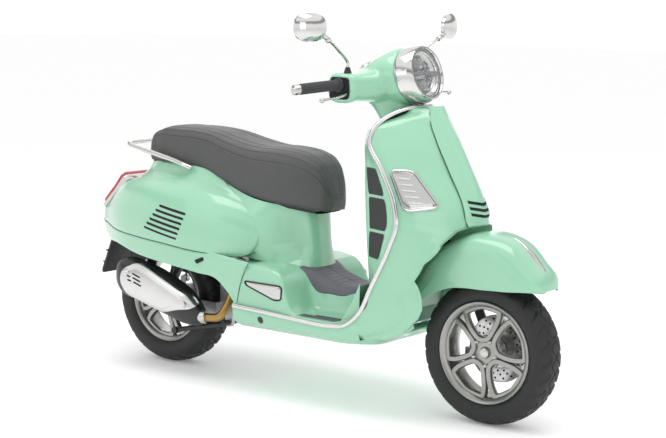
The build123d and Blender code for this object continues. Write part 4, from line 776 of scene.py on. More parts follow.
u, v = uv(200, 50)
skirts = grid(skirt(-938 + 874 * u, v), inside=(-450, 100, 440))
rear = skirt(np.full(30, -938.0), np.linspace(0, 1, 30))
make("skirt_shell", both([skirts, grid(np.stack([rear, rear * [1, 0, 1]]), inside=(-700, 0, 490))]), paint, "chassis",
     "lower_skirt")
# Painted shade: dark mint lines along the cowl-to-skirt joint and the diagonal joint stand for the shadow in the gaps.
seam_x = np.linspace(-932, -86, 160)
seam_low = through(cowl_x, cowl_rows, seam_x)
seam = stack(seam_x, seam_low[:, 2] * 0.995 - 0.6, seam_low[:, 0] - 1.5)
diagonal = np.array([(-60, 232, 450), (-76, 235, 418), (-89, 236, 384), (-98, 236, 348), (-105, 236, 312)])
make("body_seams", both([tube(seam, 2.0, 160, 8, smooth=False), tube(diagonal, 1.2, 40, 8)]), seam_shade, "chassis")
# Painted shade: the cowl's vent slots are near-black strips standing for the shadow inside them.
vents = []
for k in range(6):
    s = k / 5
    a = np.array([-470 - 79 * s, 612 - 84 * s])
    b = np.array([-340 - 39 * s, 593 - 90 * s])
    w, r = uv(40, 9)
    cap = np.sqrt(np.clip(1 - np.clip(np.abs(2 * w - 1) * 68 - 64, 0, 4.6) ** 2 / 21.5, 0, 1))
    xz_x = a[0] + (b[0] - a[0]) * w
    xz_z = a[1] + (b[1] - a[1]) * w + (2 * r - 1) * 4.4 * cap
    vents.append(grid(stack(xz_x, side_y(xz_x, xz_z) + 2.2 - 1.2 * np.abs(2 * r - 1) ** 4, xz_z),
        inside=(-450, 0, 560)))
make("cowl_vents", both(vents), painted_gap_shade, "chassis")
# Painted shade: the notch in the skirt is a near-black slab standing for its shadowed inside.
peg_slot = [(-300, 437), (-262, 452), (-258, 440), (-290, 425)]
make("skirt_notch", slab(rounded(peg_slot, 4), (0, -228.5, 0), (1, 0, 0), (0, 0, 1), 10, 1), painted_gap_shade, "chassis")

# Seat -----------------------------------------------------------------------------------
seat_x = [-668, -650, -600, -500, -350, -260, -140, -60, 20, 75, 108, 126, 136]
seat_rows = [
    (816, 62), (842, 90), (868, 112), (876, 128), (868, 131), (848, 144), (830, 150), (829, 144), (820, 124),
    (800, 100), (768, 79), (730, 62), (690, 46),
]


def seat_section(x, t):
    """Section of the seat at x: from its lower edge up the side and over the crown to the middle."""
    top, half = np.moveaxis(through(seat_x, seat_rows, x), -1, 0)
    low = through(edge_x, edge_z, x) - 3
    tall = top - low
    y = [half - 12, half - 3, half, half * 0.985, half * 0.93, half * 0.78, half * 0.42, 0 * half]
    z = [low, low + 0.06 * tall, low + 0.25 * tall, low + 0.5 * tall, low + 0.75 * tall, top - 0.07 * tall, top,
        top + 1]
    return stack(x, *outline_at(y, z, t))


u, v = uv(420, 260)
bend = 0.5 - 0.5 * np.cos(np.pi * u)
x = -668 + 804 * (0.6 * u + 0.4 * bend)
groove = 0
channel_x = smooth_step(x, -640, -560) * (1 - smooth_step(x, 20, 120) * 0.4)
for line in (0.70, 0.80, 0.895):
    groove = groove + 2.6 * np.exp(-(((v - line) / 0.0065) ** 2)) * channel_x
groove = groove + 1.9 * np.exp(-(((v - 0.585) / 0.005) ** 2))
puff = 1.6 * np.clip((v - 0.66) / 0.04, 0, 1) * channel_x


def seat_at(a, b):
    """Seat's surface with its sections drawn closer at both ends."""
    return seat_section(-668 + 804 * (0.6 * a + 0.4 * (0.5 - 0.5 * np.cos(np.pi * a))), b)


surface = lifted(seat_at, u, v, 0 * u)
normal = lifted(seat_at, u, v, 0 * u + 1) - surface
if normal[200, 100, 1] < 0:
    normal = -normal
pad = surface + normal * (puff - groove)[..., None]
pad[:, -1, 1] = 0
whole = np.concatenate([pad, pad[:, -2::-1] * [1, -1, 1]], 1)
ends = []
for row, push in ((whole[0], -6), (whole[-1], 7)):
    middle = np.array([row[:, 0].mean(), 0, (row[:, 2].min() + row[:, 2].max()) / 2])
    rings = [middle + (row - middle) * k + [push * np.sqrt(1 - k * k), 0, 0] for k in (0.97, 0.88, 0.74, 0.55,
        0.35, 0.15, 0.0)]
    ends.append(rings)
whole = np.concatenate([np.array(ends[0][::-1]), whole, np.array(ends[1])])
seat = make("seat_cover", grid(whole, wrap_v=True, inside=(-260, 0, 760)), vinyl, "seat", "seat_cushion")
piping_x = np.linspace(-660, 134, 200)
piping = seat_section(piping_x, np.full(200, 0.035)) + [0, 1.5, 0]
make("seat_edge_welt", both(tube(piping, 2.6, 200, 8, smooth=False)), vinyl, "seat")

# Fender ---------------------------------------------------------------------------------
fender_angle = [46, 52, 62, 75, 89, 102, 116, 130, 144, 158]
fender_rows = [
    (296, 310, 40), (276, 327, 78), (243, 342, 93), (220, 371, 98), (210, 384, 98), (214, 380, 98), (226, 368, 98),
    (240, 345, 98), (256, 316, 96), (268, 288, 88),
]


def fender(angle, t):
    """Section of the fender at an angle about the axle: up its side and over to the crest."""
    low, crest, half = np.moveaxis(through(fender_angle, fender_rows, angle), -1, 0)
    s = np.minimum(0.5 * (crest - low), 50)
    y = [half * 0.97, half * 1.0, half * 0.99, half * 0.9, half * 0.66, half * 0.36, 0 * half]
    r = [low, low + 0.25 * (crest - low), crest - 1.25 * s, crest - 0.55 * s, crest - 0.17 * s, crest - 0.03 * s, crest]
    y, r = outline_at(y, r, t)
    a = np.radians(angle)
    return stack(front_axle[0] + r * np.cos(a), y, front_axle[2] + r * np.sin(a))


u, v = uv(150, 80)
make("fender_shell", both(grid(fender(46 + 112 * u, v), inside=(764, 0, 400))), paint, "steering", "front_fender",
     wall=2.6)
u, v = uv(40, 24)
angle = 56 + 24 * u
tear = 0.075 * np.sin(np.pi * np.clip(u * 0.86 + 0.07, 0, 1)) ** 0.8 * (1.3 - 0.9 * u)
crest = lifted(fender, angle, 1 - tear * v - 0.0005, 0 * u)
lift_to = 5.5 * np.sin(np.pi * np.clip(u, 0, 1)) ** 0.6 * (1 - v**3)
radial = crest - [764, 0, 236]
radial[..., 1] = 0
radial /= np.linalg.norm(radial, axis=-1)[..., None]
make("fender_crest", both(grid(crest + radial * (lift_to - 0.6)[..., None], inside=(764, 0, 236))), polished,
    "steering")

# Headset with the lamp ------------------------------------------------------------------
tilt = np.radians(14.8)
lamp_axis = np.array([np.cos(tilt), 0, np.sin(tilt)])
lamp_up = np.array([-np.sin(tilt), 0, np.cos(tilt)])
lamp_centre = np.array([490.0, 0, 1107])
bulb_s = [0, 0.12, 0.3, 0.52, 0.74, 0.9, 1.0]
bulb_rows = [
    (430, 1093, 94, 92), (405, 1094, 96, 91), (370, 1090, 97, 88), (320, 1080, 96, 79), (275, 1068, 88, 60),
    (245, 1062, 74, 44), (230, 1060, 50, 28),
]
u, v = uv(60, 80)
mid = through(bulb_s, bulb_rows, u)
ring = 2 * np.pi * v
lean_x = -np.tan(tilt) * mid[..., 3] * np.sin(ring) * np.clip(1 - 2.2 * u, 0, 1)
bulb = stack(mid[..., 0] + lean_x, mid[..., 2] * np.cos(ring), mid[..., 1] + mid[..., 3] * np.sin(ring))
bulb_part = grid(ends_closed(bulb[:, :-1]), wrap_v=True)
wing_y = [0, 50, 90, 120, 160, 200, 206]
wing_rows = [
    (250, 408, 1008, 1128), (251, 402, 1010, 1122), (250, 388, 1011, 1113), (249, 372, 1011, 1107),
    (246, 354, 1012, 1103),
    (244, 338, 1012, 1100), (250, 332, 1018, 1094),
]
u, v = uv(50, 64)
rows = through(wing_y, wing_rows, 206 * u)
ring = 2 * np.pi * v
mid_x, half_x = (rows[..., 0] + rows[..., 1]) / 2, (rows[..., 1] - rows[..., 0]) / 2
mid_z, half_z = (rows[..., 2] + rows[..., 3]) / 2, (rows[..., 3] - rows[..., 2]) / 2
cx = np.sign(np.cos(ring)) * np.abs(np.cos(ring)) ** 0.62
cz = np.sign(np.sin(ring)) * np.abs(np.sin(ring)) ** 0.62
wing = stack(mid_x + half_x * cx, 206 * u, mid_z + half_z * cz)
wing_part = grid(ends_closed(wing[:, :-1]), wrap_v=True)
steer = np.array([-np.sin(np.radians(26.5)), 0, np.cos(np.radians(26.5))])
steer_base = np.array([744.0, 0, 236])
neck_part = lathe([(0, 0), (61, 0), (62, 3), (62, 30), (68, 62), (84, 96), (92, 120), (0, 120)],
                  steer_base + steer * ((957 - 236) / steer[2]), steer, 72)
headset = make("headset_shell", [bulb_part, wing_part, mirrored(wing_part), neck_part], paint, "steering",
    "headset_cover")


def applied(piece, name, kind, **settings):
    """Adds a modifier with its settings and applies it."""
    added = piece.modifiers.new(name, kind)
    for key, value in settings.items():
        setattr(added, key, value)
    with bpy.context.temp_override(object=piece, active_object=piece, selected_objects=[piece]):
        bpy.ops.object.modifier_apply(modifier=name)


applied(headset, "union", "REMESH", mode="VOXEL", voxel_size=0.0035, use_smooth_shade=True)
applied(headset, "soften", "SMOOTH", iterations=14, factor=0.6)
lamp_side = np.cross(lamp_axis, lamp_up)
bezel = lathe([(93, -62), (96.5, -58), (97, -50), (93.5, -20), (89.5, 0), (86.5, 3.5), (82, 3.5), (79.5, 0),
    (78.5, -8), (78.5, -40), (90, -50)],
              lamp_centre, lamp_axis, 120, closed=True)
make("lamp_bezel", bezel, chrome, "steering", "headlight_bezel")
u, v = uv(36, 121)
bowl_r = 77.5 * np.clip(1 - u, 0, 1)
facet = 1.3 * np.abs(np.sin(9 * 2 * np.pi * v)) * np.sin(np.pi * u) + 0.8 * np.abs(np.sin(14 * np.pi * u))
bowl = (lamp_centre + lamp_axis * (-14 - 34 * (1 - (1 - u) ** 2) + facet)[..., None]
        + lamp_side * (bowl_r * np.cos(2 * np.pi * v))[...,
        None] + lamp_up * (bowl_r * np.sin(2 * np.pi * v))[..., None])
bowl_part = grid(bowl[:, :-1], wrap_v=True, inside=lamp_centre - lamp_axis * 90)
bar_outline = rounded([(-73, -5.5), (73, -5.5), (73, 5.5), (-73, 5.5)], 5)
bar_part = slab(bar_outline, lamp_centre - lamp_axis * 17, lamp_side, lamp_up, 14, 2)
if (bar_part[0].mean(0) - (lamp_centre - lamp_axis * 17)) @ lamp_axis < 0:
    bar_part = slab(bar_outline, lamp_centre - lamp_axis * 17, -lamp_side, lamp_up, 14, 2)
rings = [lathe([(r - 3, 0), (r, 3.2), (r + 3, 0)], lamp_centre - lamp_axis * d, lamp_axis, 90) for r,
    d in ((73, 13), (61, 24), (47, 31))]
lobes = []
for cy, cz_, rad in ((0, 36, 24), (0, -37, 24), (-38, 27, 14), (38, 27, 14), (-38, -28, 14), (38, -28, 14)):
    c = lamp_centre - lamp_axis * 24 + lamp_side * cy + lamp_up * cz_
    lobes.append(lathe([(rad, -16), (rad, 0), (rad - 2, 1.5), (rad - 4, -2), (rad * 0.45, -9), (0, -11)], c,
        lamp_axis, 48))
make("lamp_reflector", [bowl_part, kind(bar_part, 1)] + rings + [kind(one, 1) for one in lobes],
    [lamp_mirror, lamp_smoke],
     "steering", "headlight_reflector")
u, v = uv(20, 97)
dome_r = 78.6 * (1 - u)
dome = (lamp_centre + lamp_axis * (-1 + 7 * (1 - (1 - u) ** 2))[..., None]
        + lamp_side * (dome_r * np.cos(2 * np.pi * v))[...,
        None] + lamp_up * (dome_r * np.sin(2 * np.pi * v))[..., None])
make("lamp_lens", grid(dome[:, :-1], wrap_v=True, inside=lamp_centre - lamp_axis * 40), clear_lens, "steering",
     "headlight_lens")
dash = [lathe([(50, -4), (51, 8), (50, 24), (47, 27), (44, 25)], (286, 0, 1104), (-0.45, 0, 0.893), 72),
        kind(lathe([(45, 24.5), (30, 25.5), (0, 26)], (286, 0, 1104), (-0.45, 0, 0.893), 72), 1)]
make("dash_panel", dash, [chrome, dial_black], "steering", "instrument_panel")
# Painted shade: the recess at each wing's end is a near-black slab standing for the shadow in it.
outline = rounded([(256, 1020), (330, 1020), (336, 1040), (332, 1090), (262, 1092), (254, 1070)], 12)
recess = slab(outline, (0, -204, 0), (1, 0, 0), (0, 0, 1), 5, 1.5)
make("wing_recess", both(recess), painted_gap_shade, "steering")
# Painted shade: the holes in the headset are near-black discs standing for their shadowed insides.
holes = [lathe([(0, 1.5), (4.5, 1.2), (6, 0)], (313, -97.5, 1082), (0, -1, 0.1), 32)]
make("headset_plugs", holes, painted_gap_shade, "steering")

# Bar, grips, levers and switches --------------------------------------------------------


def bar_point(y):
    """Middle of the handlebar at a distance across."""
    s = np.asarray(y, float) / 372
    return stack(318 - 81 * s * s, np.asarray(y, float), 1073 - 21 * s * s)


def on_bar(low, high, profile, n=40, count=48):
    """Turned form carried along the bar: profile gives radius against share of the way."""
    y = np.linspace(low, high, count)
    share = np.linspace(0, 1, count)
    radius = np.interp(share, *np.asarray(profile, float).T)
    return sweep(bar_point(y), circle(n), scale=radius)


grip_share = np.linspace(0, 1, 200)
grip_radius = 17.0 + 0.55 * np.sign(np.sin(grip_share * 2 * np.pi * 22)) * (grip_share > 0.10) * (grip_share < 0.96)
grip_radius = np.where(grip_share < 0.05, 22.5, grip_radius)
grip = on_bar(208, 350, np.stack([grip_share, grip_radius], -1), 48, 300)
make("left_hand_grip", grip, grip_rubber, "steering", "left_grip")
make("throttle_hand_grip", mirrored(grip), grip_rubber, "throttle", "throttle_grip")
end_cap = on_bar(349, 373, [(0, 14), (0.05, 16.5), (0.25, 16.5), (0.3, 15), (0.4, 15), (0.45, 17), (0.85, 16),
    (1, 9)], 48)
make("bar_weights", both(end_cap), polished, "steering", "bar_ends")
collar = on_bar(196, 209, [(0, 19), (0.2, 22), (0.8, 22), (1, 19)], 48)
housing = [on_bar(166, 197, [(0, 22), (0.15, 27), (0.85, 25), (1, 20)], 48), collar]
make("switch_boxes", both(housing), [black_plastic], "steering", "switch_housings")
lever_path = [(312, 186, 1044), (322, 205, 1041), (331, 228, 1038), (342, 270, 1033), (347, 305, 1029),
    (344, 335, 1027), (342, 354, 1025)]
blade = np.array([(7, 0), (5, 3.4), (0, 4.4), (-5, 3.4), (-7, 0), (-5, -3.4), (0, -4.4), (5, -3.4)])
lever = [sweep(resampled(lever_path, 60), blade, up=(0, 0, 1), scale=1.15 - 0.3 * np.linspace(0, 1, 60)),
         ball((342, 356, 1025), (8.5, 8.5, 8.5)), lathe([(0, -6), (9, -6), (10, -4), (10, 6), (8, 8), (0, 8)],
         (312, 186, 1042), (0, 0, 1), 32)]
make("left_lever_blade", lever, polished, "left_lever", "left_brake_lever")
make("right_lever_blade", [mirrored(p) for p in lever], polished, "right_lever", "right_brake_lever")

# Mirrors --------------------------------------------------------------------------------
boot = lathe([(15, -3), (16, 0), (14.5, 5), (11.5, 8), (12, 10), (10, 13), (10.5, 15), (8.5, 19), (7, 24), (0, 24)],
             (307, 180, 1099), (0.05, 0.1, 1), 40)
make("mirror_boots", both(boot), black_plastic, "steering")
stem = tube([(307, 180, 1120), (308, 183, 1138), (311, 200, 1151), (316, 235, 1172), (322, 275, 1195),
    (329, 322, 1217)], 5.0, 60, 20)
stem_nut = lathe([(0, -9), (8.5, -9), (9.5, -7), (9.5, 5), (7, 9), (0, 9)], (327, 312, 1211.5), (7, 47, 22), 24)
make("mirror_arms", both([stem, stem_nut]), chrome, "steering", "mirror_stems")
face = np.array([-np.cos(np.radians(15)), -np.sin(np.radians(15)), 0])
across = np.array([-np.sin(np.radians(15)), np.cos(np.radians(15)), 0])
u, v = uv(40, 97)
ring = 2 * np.pi * v
power = 2.5
oval = (np.abs(np.cos(ring)) ** power + np.abs(np.sin(ring)) ** power) ** (-1 / power)
plan_y = oval * np.cos(ring) * 61
plan_z = oval * np.sin(ring) * (44 + 2 * np.cos(ring))
s = np.sin(np.pi / 2 * u)
back = np.array([320.0, 387, 1250]) + (across * (plan_y * s)[...,
    None] + np.array([0, 0, 1.0]) * (plan_z * s)[..., None]
                                       - face * (19 * (1 - s**3.0) - 1 + 3 * (s < 0.62) * (0.62 - s))[..., None])
rim_ring = back[-1:]
front_rows = [rim_ring + face * 9, rim_ring * 0.965 + 0.035 * np.array([320.0, 387, 1250]) + face * 13,
              rim_ring * 0.93 + 0.07 * np.array([320.0, 387, 1250]) + face * 11]
shell_m = np.concatenate([back] + front_rows)
glass = np.concatenate([front_rows[-1], front_rows[-1] * 0 + np.array([320.0, 387, 1250]) + face * 10.5])
neck_m = tube([(329, 322, 1217), (327, 334, 1223), (325, 350, 1232)], 8.5, 20, 20, scale=np.linspace(0.8, 1.35, 20))
mirror_parts = [grid(shell_m[:, :-1], wrap_v=True, inside=(320, 387, 1250)),
                kind(grid(glass[:, :-1], wrap_v=True, inside=(360, 397, 1250)), 1), neck_m]
make("left_mirror_shell", mirror_parts, [chrome, dial_black], "left_mirror", "left_mirror")
make("right_mirror_shell", [kind(mirrored(p), p[2] if len(p) > 2 else 0) for p in mirror_parts], [chrome, dial_black],
     "right_mirror", "right_mirror")

# Wheels ---------------------------------------------------------------------------------


bead_r = 154.0


def tyre(radius, width, hub, pitches):
    """Tyre with zig-zag grooves: a section of superellipse carried round, cut by stepped waves."""
    u, v = uv(760, 96)
    a = 2 * np.pi * u
    s = 2 * np.pi * v
    depth = radius - bead_r
    mid_r = bead_r + depth / 2
    cy = np.sign(np.cos(s)) * np.abs(np.cos(s)) ** 0.86
    cr = np.sign(np.sin(s)) * np.abs(np.sin(s)) ** 0.80
    y = width / 2 * cy
    r = mid_r + depth / 2 * cr
    wave = 0.34 * (2 / np.pi) * np.arcsin(np.sin(a * pitches)) * 0.5
    grooves = 0.0
    for offset in (-0.62, -0.2, 0.2, 0.62):
        grooves = np.maximum(grooves, np.exp(-(((cy - offset - wave * (1 if offset < 0 else -1)) / 0.042) ** 2)))
    side = np.clip((np.abs(cy) - 0.30) / 0.5, 0, 1)
    phase = (a * pitches / (2 * np.pi) + 0.42 * np.abs(cy) * 2.0 + (cy > 0) * 0.5) % 1.0
    cuts = np.exp(-(((phase - 0.5) / 0.12) ** 4)) * (np.abs(cy) > 0.34) * (np.abs(cy) < 0.92)
    cut = np.maximum(grooves * (np.abs(cy) < 0.55), cuts)
    mask = smooth_step(np.sin(s), 0.30, 0.45)
    r = r - 5.0 * cut * mask * (r > mid_r + depth * 0.12)
    ridge = 0.9 * np.exp(-(((r - 178) / 1.5) ** 2)) + 0.7 * np.exp(-(((r - 168) / 1.2) ** 2))
    y = y + np.sign(y) * ridge * (np.abs(cy) > 0.5)
    points = stack(hub[0] + r * np.cos(a), y, hub[2] + r * np.sin(a))
    return grid(points[:-1, :-1], wrap_u=True, wrap_v=True, inside=None)


def turned_out(part, hub, ring_radius):
    """Faces of a ring turned outwards from the ring's own middle line."""
    verts, quads = part
    corner = verts[quads]
    normal = np.cross(corner[:, 2] - corner[:, 0], corner[:, 3] - corner[:, 1])
    centre = corner.mean(1)
    flat = centre - hub
    flat[:, 1] = 0
    core = hub + flat / np.linalg.norm(flat, axis=1)[:, None] * ring_radius
    if (normal * (centre - core)).sum() < 0:
        quads = quads[:, ::-1]
    return verts, quads


def wheel(hub, body, tag, face_y, radius, width):
    """Tyre, barrel, five closed loops of spokes, hub, bolts and cap of one wheel."""
    tyre_part = turned_out(tyre(radius, width, hub, 27), hub, bead_r + (radius - bead_r) / 2)
    make(tag + "_tyre_tread", tyre_part, tread_rubber, body, tag + "_tyre", sharp=30)
    barrel = lathe([(151, -46), (156, -52), (163, -54), (166, -51), (164, -46), (156, -42), (152, -30),
        (149, -8), (147, 20),
                    (150, 36), (156, 42), (164, 46), (166, 51), (163, 54), (156, 50), (150, 44), (145, 36),
                    (142, 18), (142, -10),
                    (144, -30), (147, -42)], hub, (0, 1, 0), 160, closed=True)
    spokes = []
    beam = np.array([(9.5, -8), (9.5, 4), (6.5, 8), (-6.5, 8), (-9.5, 4), (-9.5, -8), (-5, -11), (5, -11)])
    spoke_turn = 0.3 if tag == "rear" else 0.12
    for k in range(5):
        middle = np.pi / 2 + 2 * np.pi * k / 5 + spoke_turn
        polar = [(50, -24), (78, -29), (112, -30), (146, -27), (149, 0), (146, 27), (112, 30), (78, 29),
            (50, 24), (40, 0)]
        polar = np.array(polar, float)
        ang = middle + np.radians(polar[:, 1])
        dish = -face_y + np.interp(polar[:, 0], [40, 80, 150], [2, 0, 8])
        loop = stack(hub[0] + polar[:, 0] * np.cos(ang), dish, hub[2] + polar[:, 0] * np.sin(ang))
        loop = rounded(loop, 13, 5)
        spokes.append(sweep(resampled(loop, 120, closed=True), beam, closed=True, up=(0, -1, 0)))
    hub_part = lathe([(0, -face_y - 4), (15, -face_y - 4), (17, -face_y - 2), (19, -face_y + 3),
        (46, -face_y + 1), (54, -face_y + 4), (55, -face_y + 16),
                      (36, -face_y + 22), (34, 30), (0, 30)], hub * [1, 0, 1], (0, 1, 0), 96)
    make(tag + "_wheel_rim", [barrel, hub_part] + spokes, rim_grey, body, tag + "_rim")
    bolts = []
    for k in range(5):
        a = np.pi / 2 + 2 * np.pi * (k + 0.5) / 5 + spoke_turn
        c = (hub[0] + 42 * np.cos(a), 0, hub[2] + 42 * np.sin(a))
        bolts.append(lathe([(0, -face_y - 9), (2.6, -face_y - 9), (2.8, -face_y - 7), (5, -face_y - 9.5),
            (6.4, -face_y - 8), (6.4, -face_y + 4), (0, -face_y + 4)], c, (0, 1, 0), 24))
    cap = lathe([(0, -face_y - 8.5), (10, -face_y - 8), (15, -face_y - 6), (16.5, -face_y - 3),
        (16.5, -face_y + 3), (0, -face_y + 3)], hub * [1, 0, 1], (0, 1, 0), 48)
    make(tag + "_hub_bolts", bolts + [cap], ground_steel, body, tag + "_wheel_bolts")


wheel(front_axle, "front_wheel", "front", 40, 236, 120)
wheel(rear_axle, "rear_wheel", "rear", 40, 243, 130)
disc_face = lathe([(62, 41.8), (109, 41.8), (110, 42.6), (110, 45.4), (109, 46.2), (62, 46.2), (60, 45),
    (60, 43)], front_axle * [1, 0, 1],
                  (0, 1, 0), 120, closed=True)
# Painted shade: the disc's drilled holes are near-black plugs standing for the shadow seen through them.
disc_holes = []
for k in range(20):
    a = 2 * np.pi * k / 20
    for j, rad in enumerate((72, 84, 97)):
        b = a + 0.11 * j
        disc_holes.append(kind(lathe([(0, 41.2), (3.6, 41.2), (3.8, 43), (3.8, 45), (3.6, 46.8), (0, 46.8)],
                               (front_axle[0] + rad * np.cos(b), 0, front_axle[2] + rad * np.sin(b)), (0, 1, 0),
                               12), 1))
carrier = lathe([(30, 38), (64, 42.4), (64, 45.6), (30, 46)], front_axle * [1, 0, 1], (0, 1, 0), 60, closed=True)
make("front_brake_disc", [disc_face, carrier] + disc_holes, [ground_steel, painted_gap_shade], "front_wheel",
    "front_disc")

# Lamps on the body ----------------------------------------------------------------------


def shield_side(x, z):
    """Half width of the legshield's skin at a place along and up."""
    rows = skin(shield_z, shield_rows, z[..., None], dense)
    flat = rows.reshape(-1, len(dense), 2)
    found = np.array([np.interp(-a, -row[:, 0], row[:, 1]) for a, row in zip(x.ravel(), flat)])
    return found.reshape(x.shape)


signal = rounded([(489, 808), (546, 806), (637, 695), (556, 683)], 22, 8)
centre = signal.mean(0)
u, v = uv(14, len(signal) + 1)
share = 1 - u[..., None]
plan = centre + (np.concatenate([signal, signal[:1]])[None] - centre) * np.clip(share, 0, 1)
skin_y = shield_side(plan[..., 0], plan[..., 1])
lens_rise = 3.0 * np.sin(np.pi / 2 * np.clip(u * 5, 0, 1))
glass_side = stack(plan[..., 0] + 0.35 * lens_rise, skin_y + lens_rise, plan[..., 1])
rim_line = np.stack([signal[:, 0] + 1.6, shield_side(signal[:, 0], signal[:, 1]) + 2.6, signal[:, 1]], -1)
surround = sweep(rim_line, np.array([(3.2, -1), (3.2, 1.2), (1.5, 2.6), (-1.5, 2.6), (-3.2, 1.2), (-3.2, -1)]),
    True, up=(0.35, 0.93, 0.1))
rows_x = []
for k in range(5):
    s = (k + 0.5) / 5
    a = np.array([507 + 62 * s, 792 - 92 * s])
    b = a + np.array([34, -3])
    y1 = shield_side(np.array([a[0], b[0]]), np.array([a[1], b[1]]))
    rows_x.append(tube([(a[0], y1[0] + 3.4, a[1]), ((a[0] + b[0]) / 2, y1.mean() + 4.6, (a[1] + b[1]) / 2),
        (b[0], y1[1] + 3.4, b[1])], 3.4, 12, 10))
make("front_signals", both([grid(glass_side, inside=(540, 100, 740)),
    kind(surround, 1)] + [kind(r, 2) for r in rows_x]),
     [lamp_mirror, dial_black, polished], "chassis", "indicator_lights")
tail_side = rounded([(-792, 672), (-850, 612), (-906, 556), (-922, 570), (-878, 632), (-812, 694)], 10, 6)
tail_lamp = slab(tail_side, (0, 68, 0), (1, 0, 0), (0, 0, 1), 136, 12)
frame_ring = slab(rounded([(-780, 664), (-844, 603), (-906, 546), (-916, 556), (-864, 620), (-798, 684)], 8, 6),
    (0, 76, 0), (1, 0, 0),
                  (0, 0, 1), 152, 8)
make("tail_lamp", [tail_lamp, kind(frame_ring, 1)], [red_lens, chrome], "chassis", "tail_light")
rear_signal = slab(rounded([(-904, 550), (-934, 520), (-944, 530), (-915, 566)], 5, 5), (0, 40, 0), (1, 0, 0),
    (0, 0, 1), 30, 4)
make("rear_signals", both(rear_signal), lamp_mirror, "chassis")

# Rail, plate holder, pegs and grilles ----------------------------------------------------
rail_half = [(-405, 140, 741), (-425, 148, 749), (-470, 147, 761), (-570, 143, 779), (-660, 132, 792),
    (-735, 112, 801), (-762, 84, 803), (-770, 40, 804), (-771, 0, 804)]
rail = np.array(rail_half + [(p[0], -p[1], p[2]) for p in rail_half[-2::-1]])
make("passenger_rail", tube(rail, 9, 160, 24), chrome, "chassis", "grab_rail")
rib_section = np.array([(1.5, 0), (1.5, 9), (-1.5, 9), (-1.5, 0)])
plate_normal = (-0.94, 0, 0.33)
plate_parts = [slab(rounded([(-78, 0), (78, 0), (70, 148), (-70, 148)], 10), (-921, 0, 303), (0, 1, 0),
    (0.335, 0, 0.942), 8, 2)]
for k in range(7):
    y = -63 + 21 * k
    upright_rib = np.linspace((-922, y, 309), (-876, y * 0.86, 438), 12)
    plate_parts.append(sweep(upright_rib, rib_section, up=plate_normal))
for k in (0.25, 0.6):
    rib_x, rib_z = -922 + 46 * k, 309 + 129 * k
    plate_parts.append(sweep(np.linspace((rib_x, -72, rib_z), (rib_x, 72, rib_z), 12), rib_section, up=plate_normal))
plate_parts.append(slab(rounded([(-82, 438), (82, 438), (60, 480), (-60, 480)], 8), (-872, 0, 0), (0, 1, 0),
    (0, 0, 1), 10, 2))
make("plate_bracket", plate_parts, black_plastic, "chassis", "plate_holder")
peg_outline = rounded([(-72, 391), (80, 391), (89, 384), (87, 345), (60, 341), (-66, 379)], 9, 6)
outline_mid = peg_outline.mean(0)
frame_path = stack(peg_outline[:, 0], 237.0, peg_outline[:, 1])
peg_edge = sweep(frame_path, np.array([(2.4, -3), (2.4, 0.6), (0, 1.6), (-2.4, 0.6), (-2.4, -3)]), True, up=(0, 1, 0))
u, v = uv(12, len(peg_outline) + 1)
plan = outline_mid + (np.concatenate([peg_outline, peg_outline[:1]])[None] - outline_mid) * (1 - u)[..., None] * 0.97
face_peg = stack(plan[..., 0], 235.5 + 4.5 * np.sin(np.pi / 2 * np.clip(u * 4, 0, 1)), plan[..., 1])
peg_parts = [grid(face_peg, inside=(0, 200, 366)), kind(peg_edge, 1)]
make("left_folding_peg", peg_parts, [polished, black_plastic], "left_peg", "left_footpeg")
make("right_folding_peg", [kind(mirrored(p), p[2] if len(p) > 2 else 0) for p in peg_parts],
    [polished, black_plastic], "right_peg",
     "right_footpeg")


def inner_side(z, t):
    """The sloping side of the inner panel between the trim edge and its rear face."""
    plan = skin(inner_z, inner_full, z, 0.02 + 0.30 * t)
    return stack(plan[..., 0], plan[..., 1], z)


grilles = []
for low, high in ((520, 602), (612, 712), (722, 806)):
    u, v = uv(30, 14)
    z = low + (high - low) * u
    inset = 0.06 * (np.abs(2 * u - 1) ** 8)
    grilles.append(grid(lifted(inner_side, z, 0.14 + 0.72 * (v * (1 - 2 * inset) + inset), 0 * u) + [-1.2, 1.6,
        0], inside=(470, 0, 650)))
make("side_grilles", both(grilles), black_plastic, "chassis")
tray_x = np.linspace(-650, 100, 60)
tray = np.stack([seat_section(tray_x, np.full(60, 0.0)) * [1, k, 1] + [0, 0, -d] for k,
    d in ((0, 16), (0.5, 16), (0.9, 14), (0.97, 6), (0.97, 0), (0, 0))])
make("seat_tray", both(grid(tray, wrap_u=True)), black_plastic, "seat", "seat_base")

# Silencer -------------------------------------------------------------------------------
muffler_x = [-724, -714, -700, -600, -470, -370, -330, -318]
muffler_rows = [(337, 22, 16), (336, 44, 32), (334, 56, 42), (318, 70, 50), (282, 70, 50), (246, 54, 42),
    (229, 34, 30), (226, 24, 22)]


def muffler(x, angle, grow=0.0):
    """Silencer: superelliptic sections from tail to inlet, grown by a margin."""
    mid, tall, wide = np.moveaxis(through(muffler_x, muffler_rows, x), -1, 0)
    c, s = np.cos(angle), np.sin(angle)
    k = (np.abs(c) ** 2.6 + np.abs(s) ** 2.6) ** (-1 / 2.6)
    return stack(x, -172 + (wide + grow) * k * c, mid + (tall + grow) * k * s)


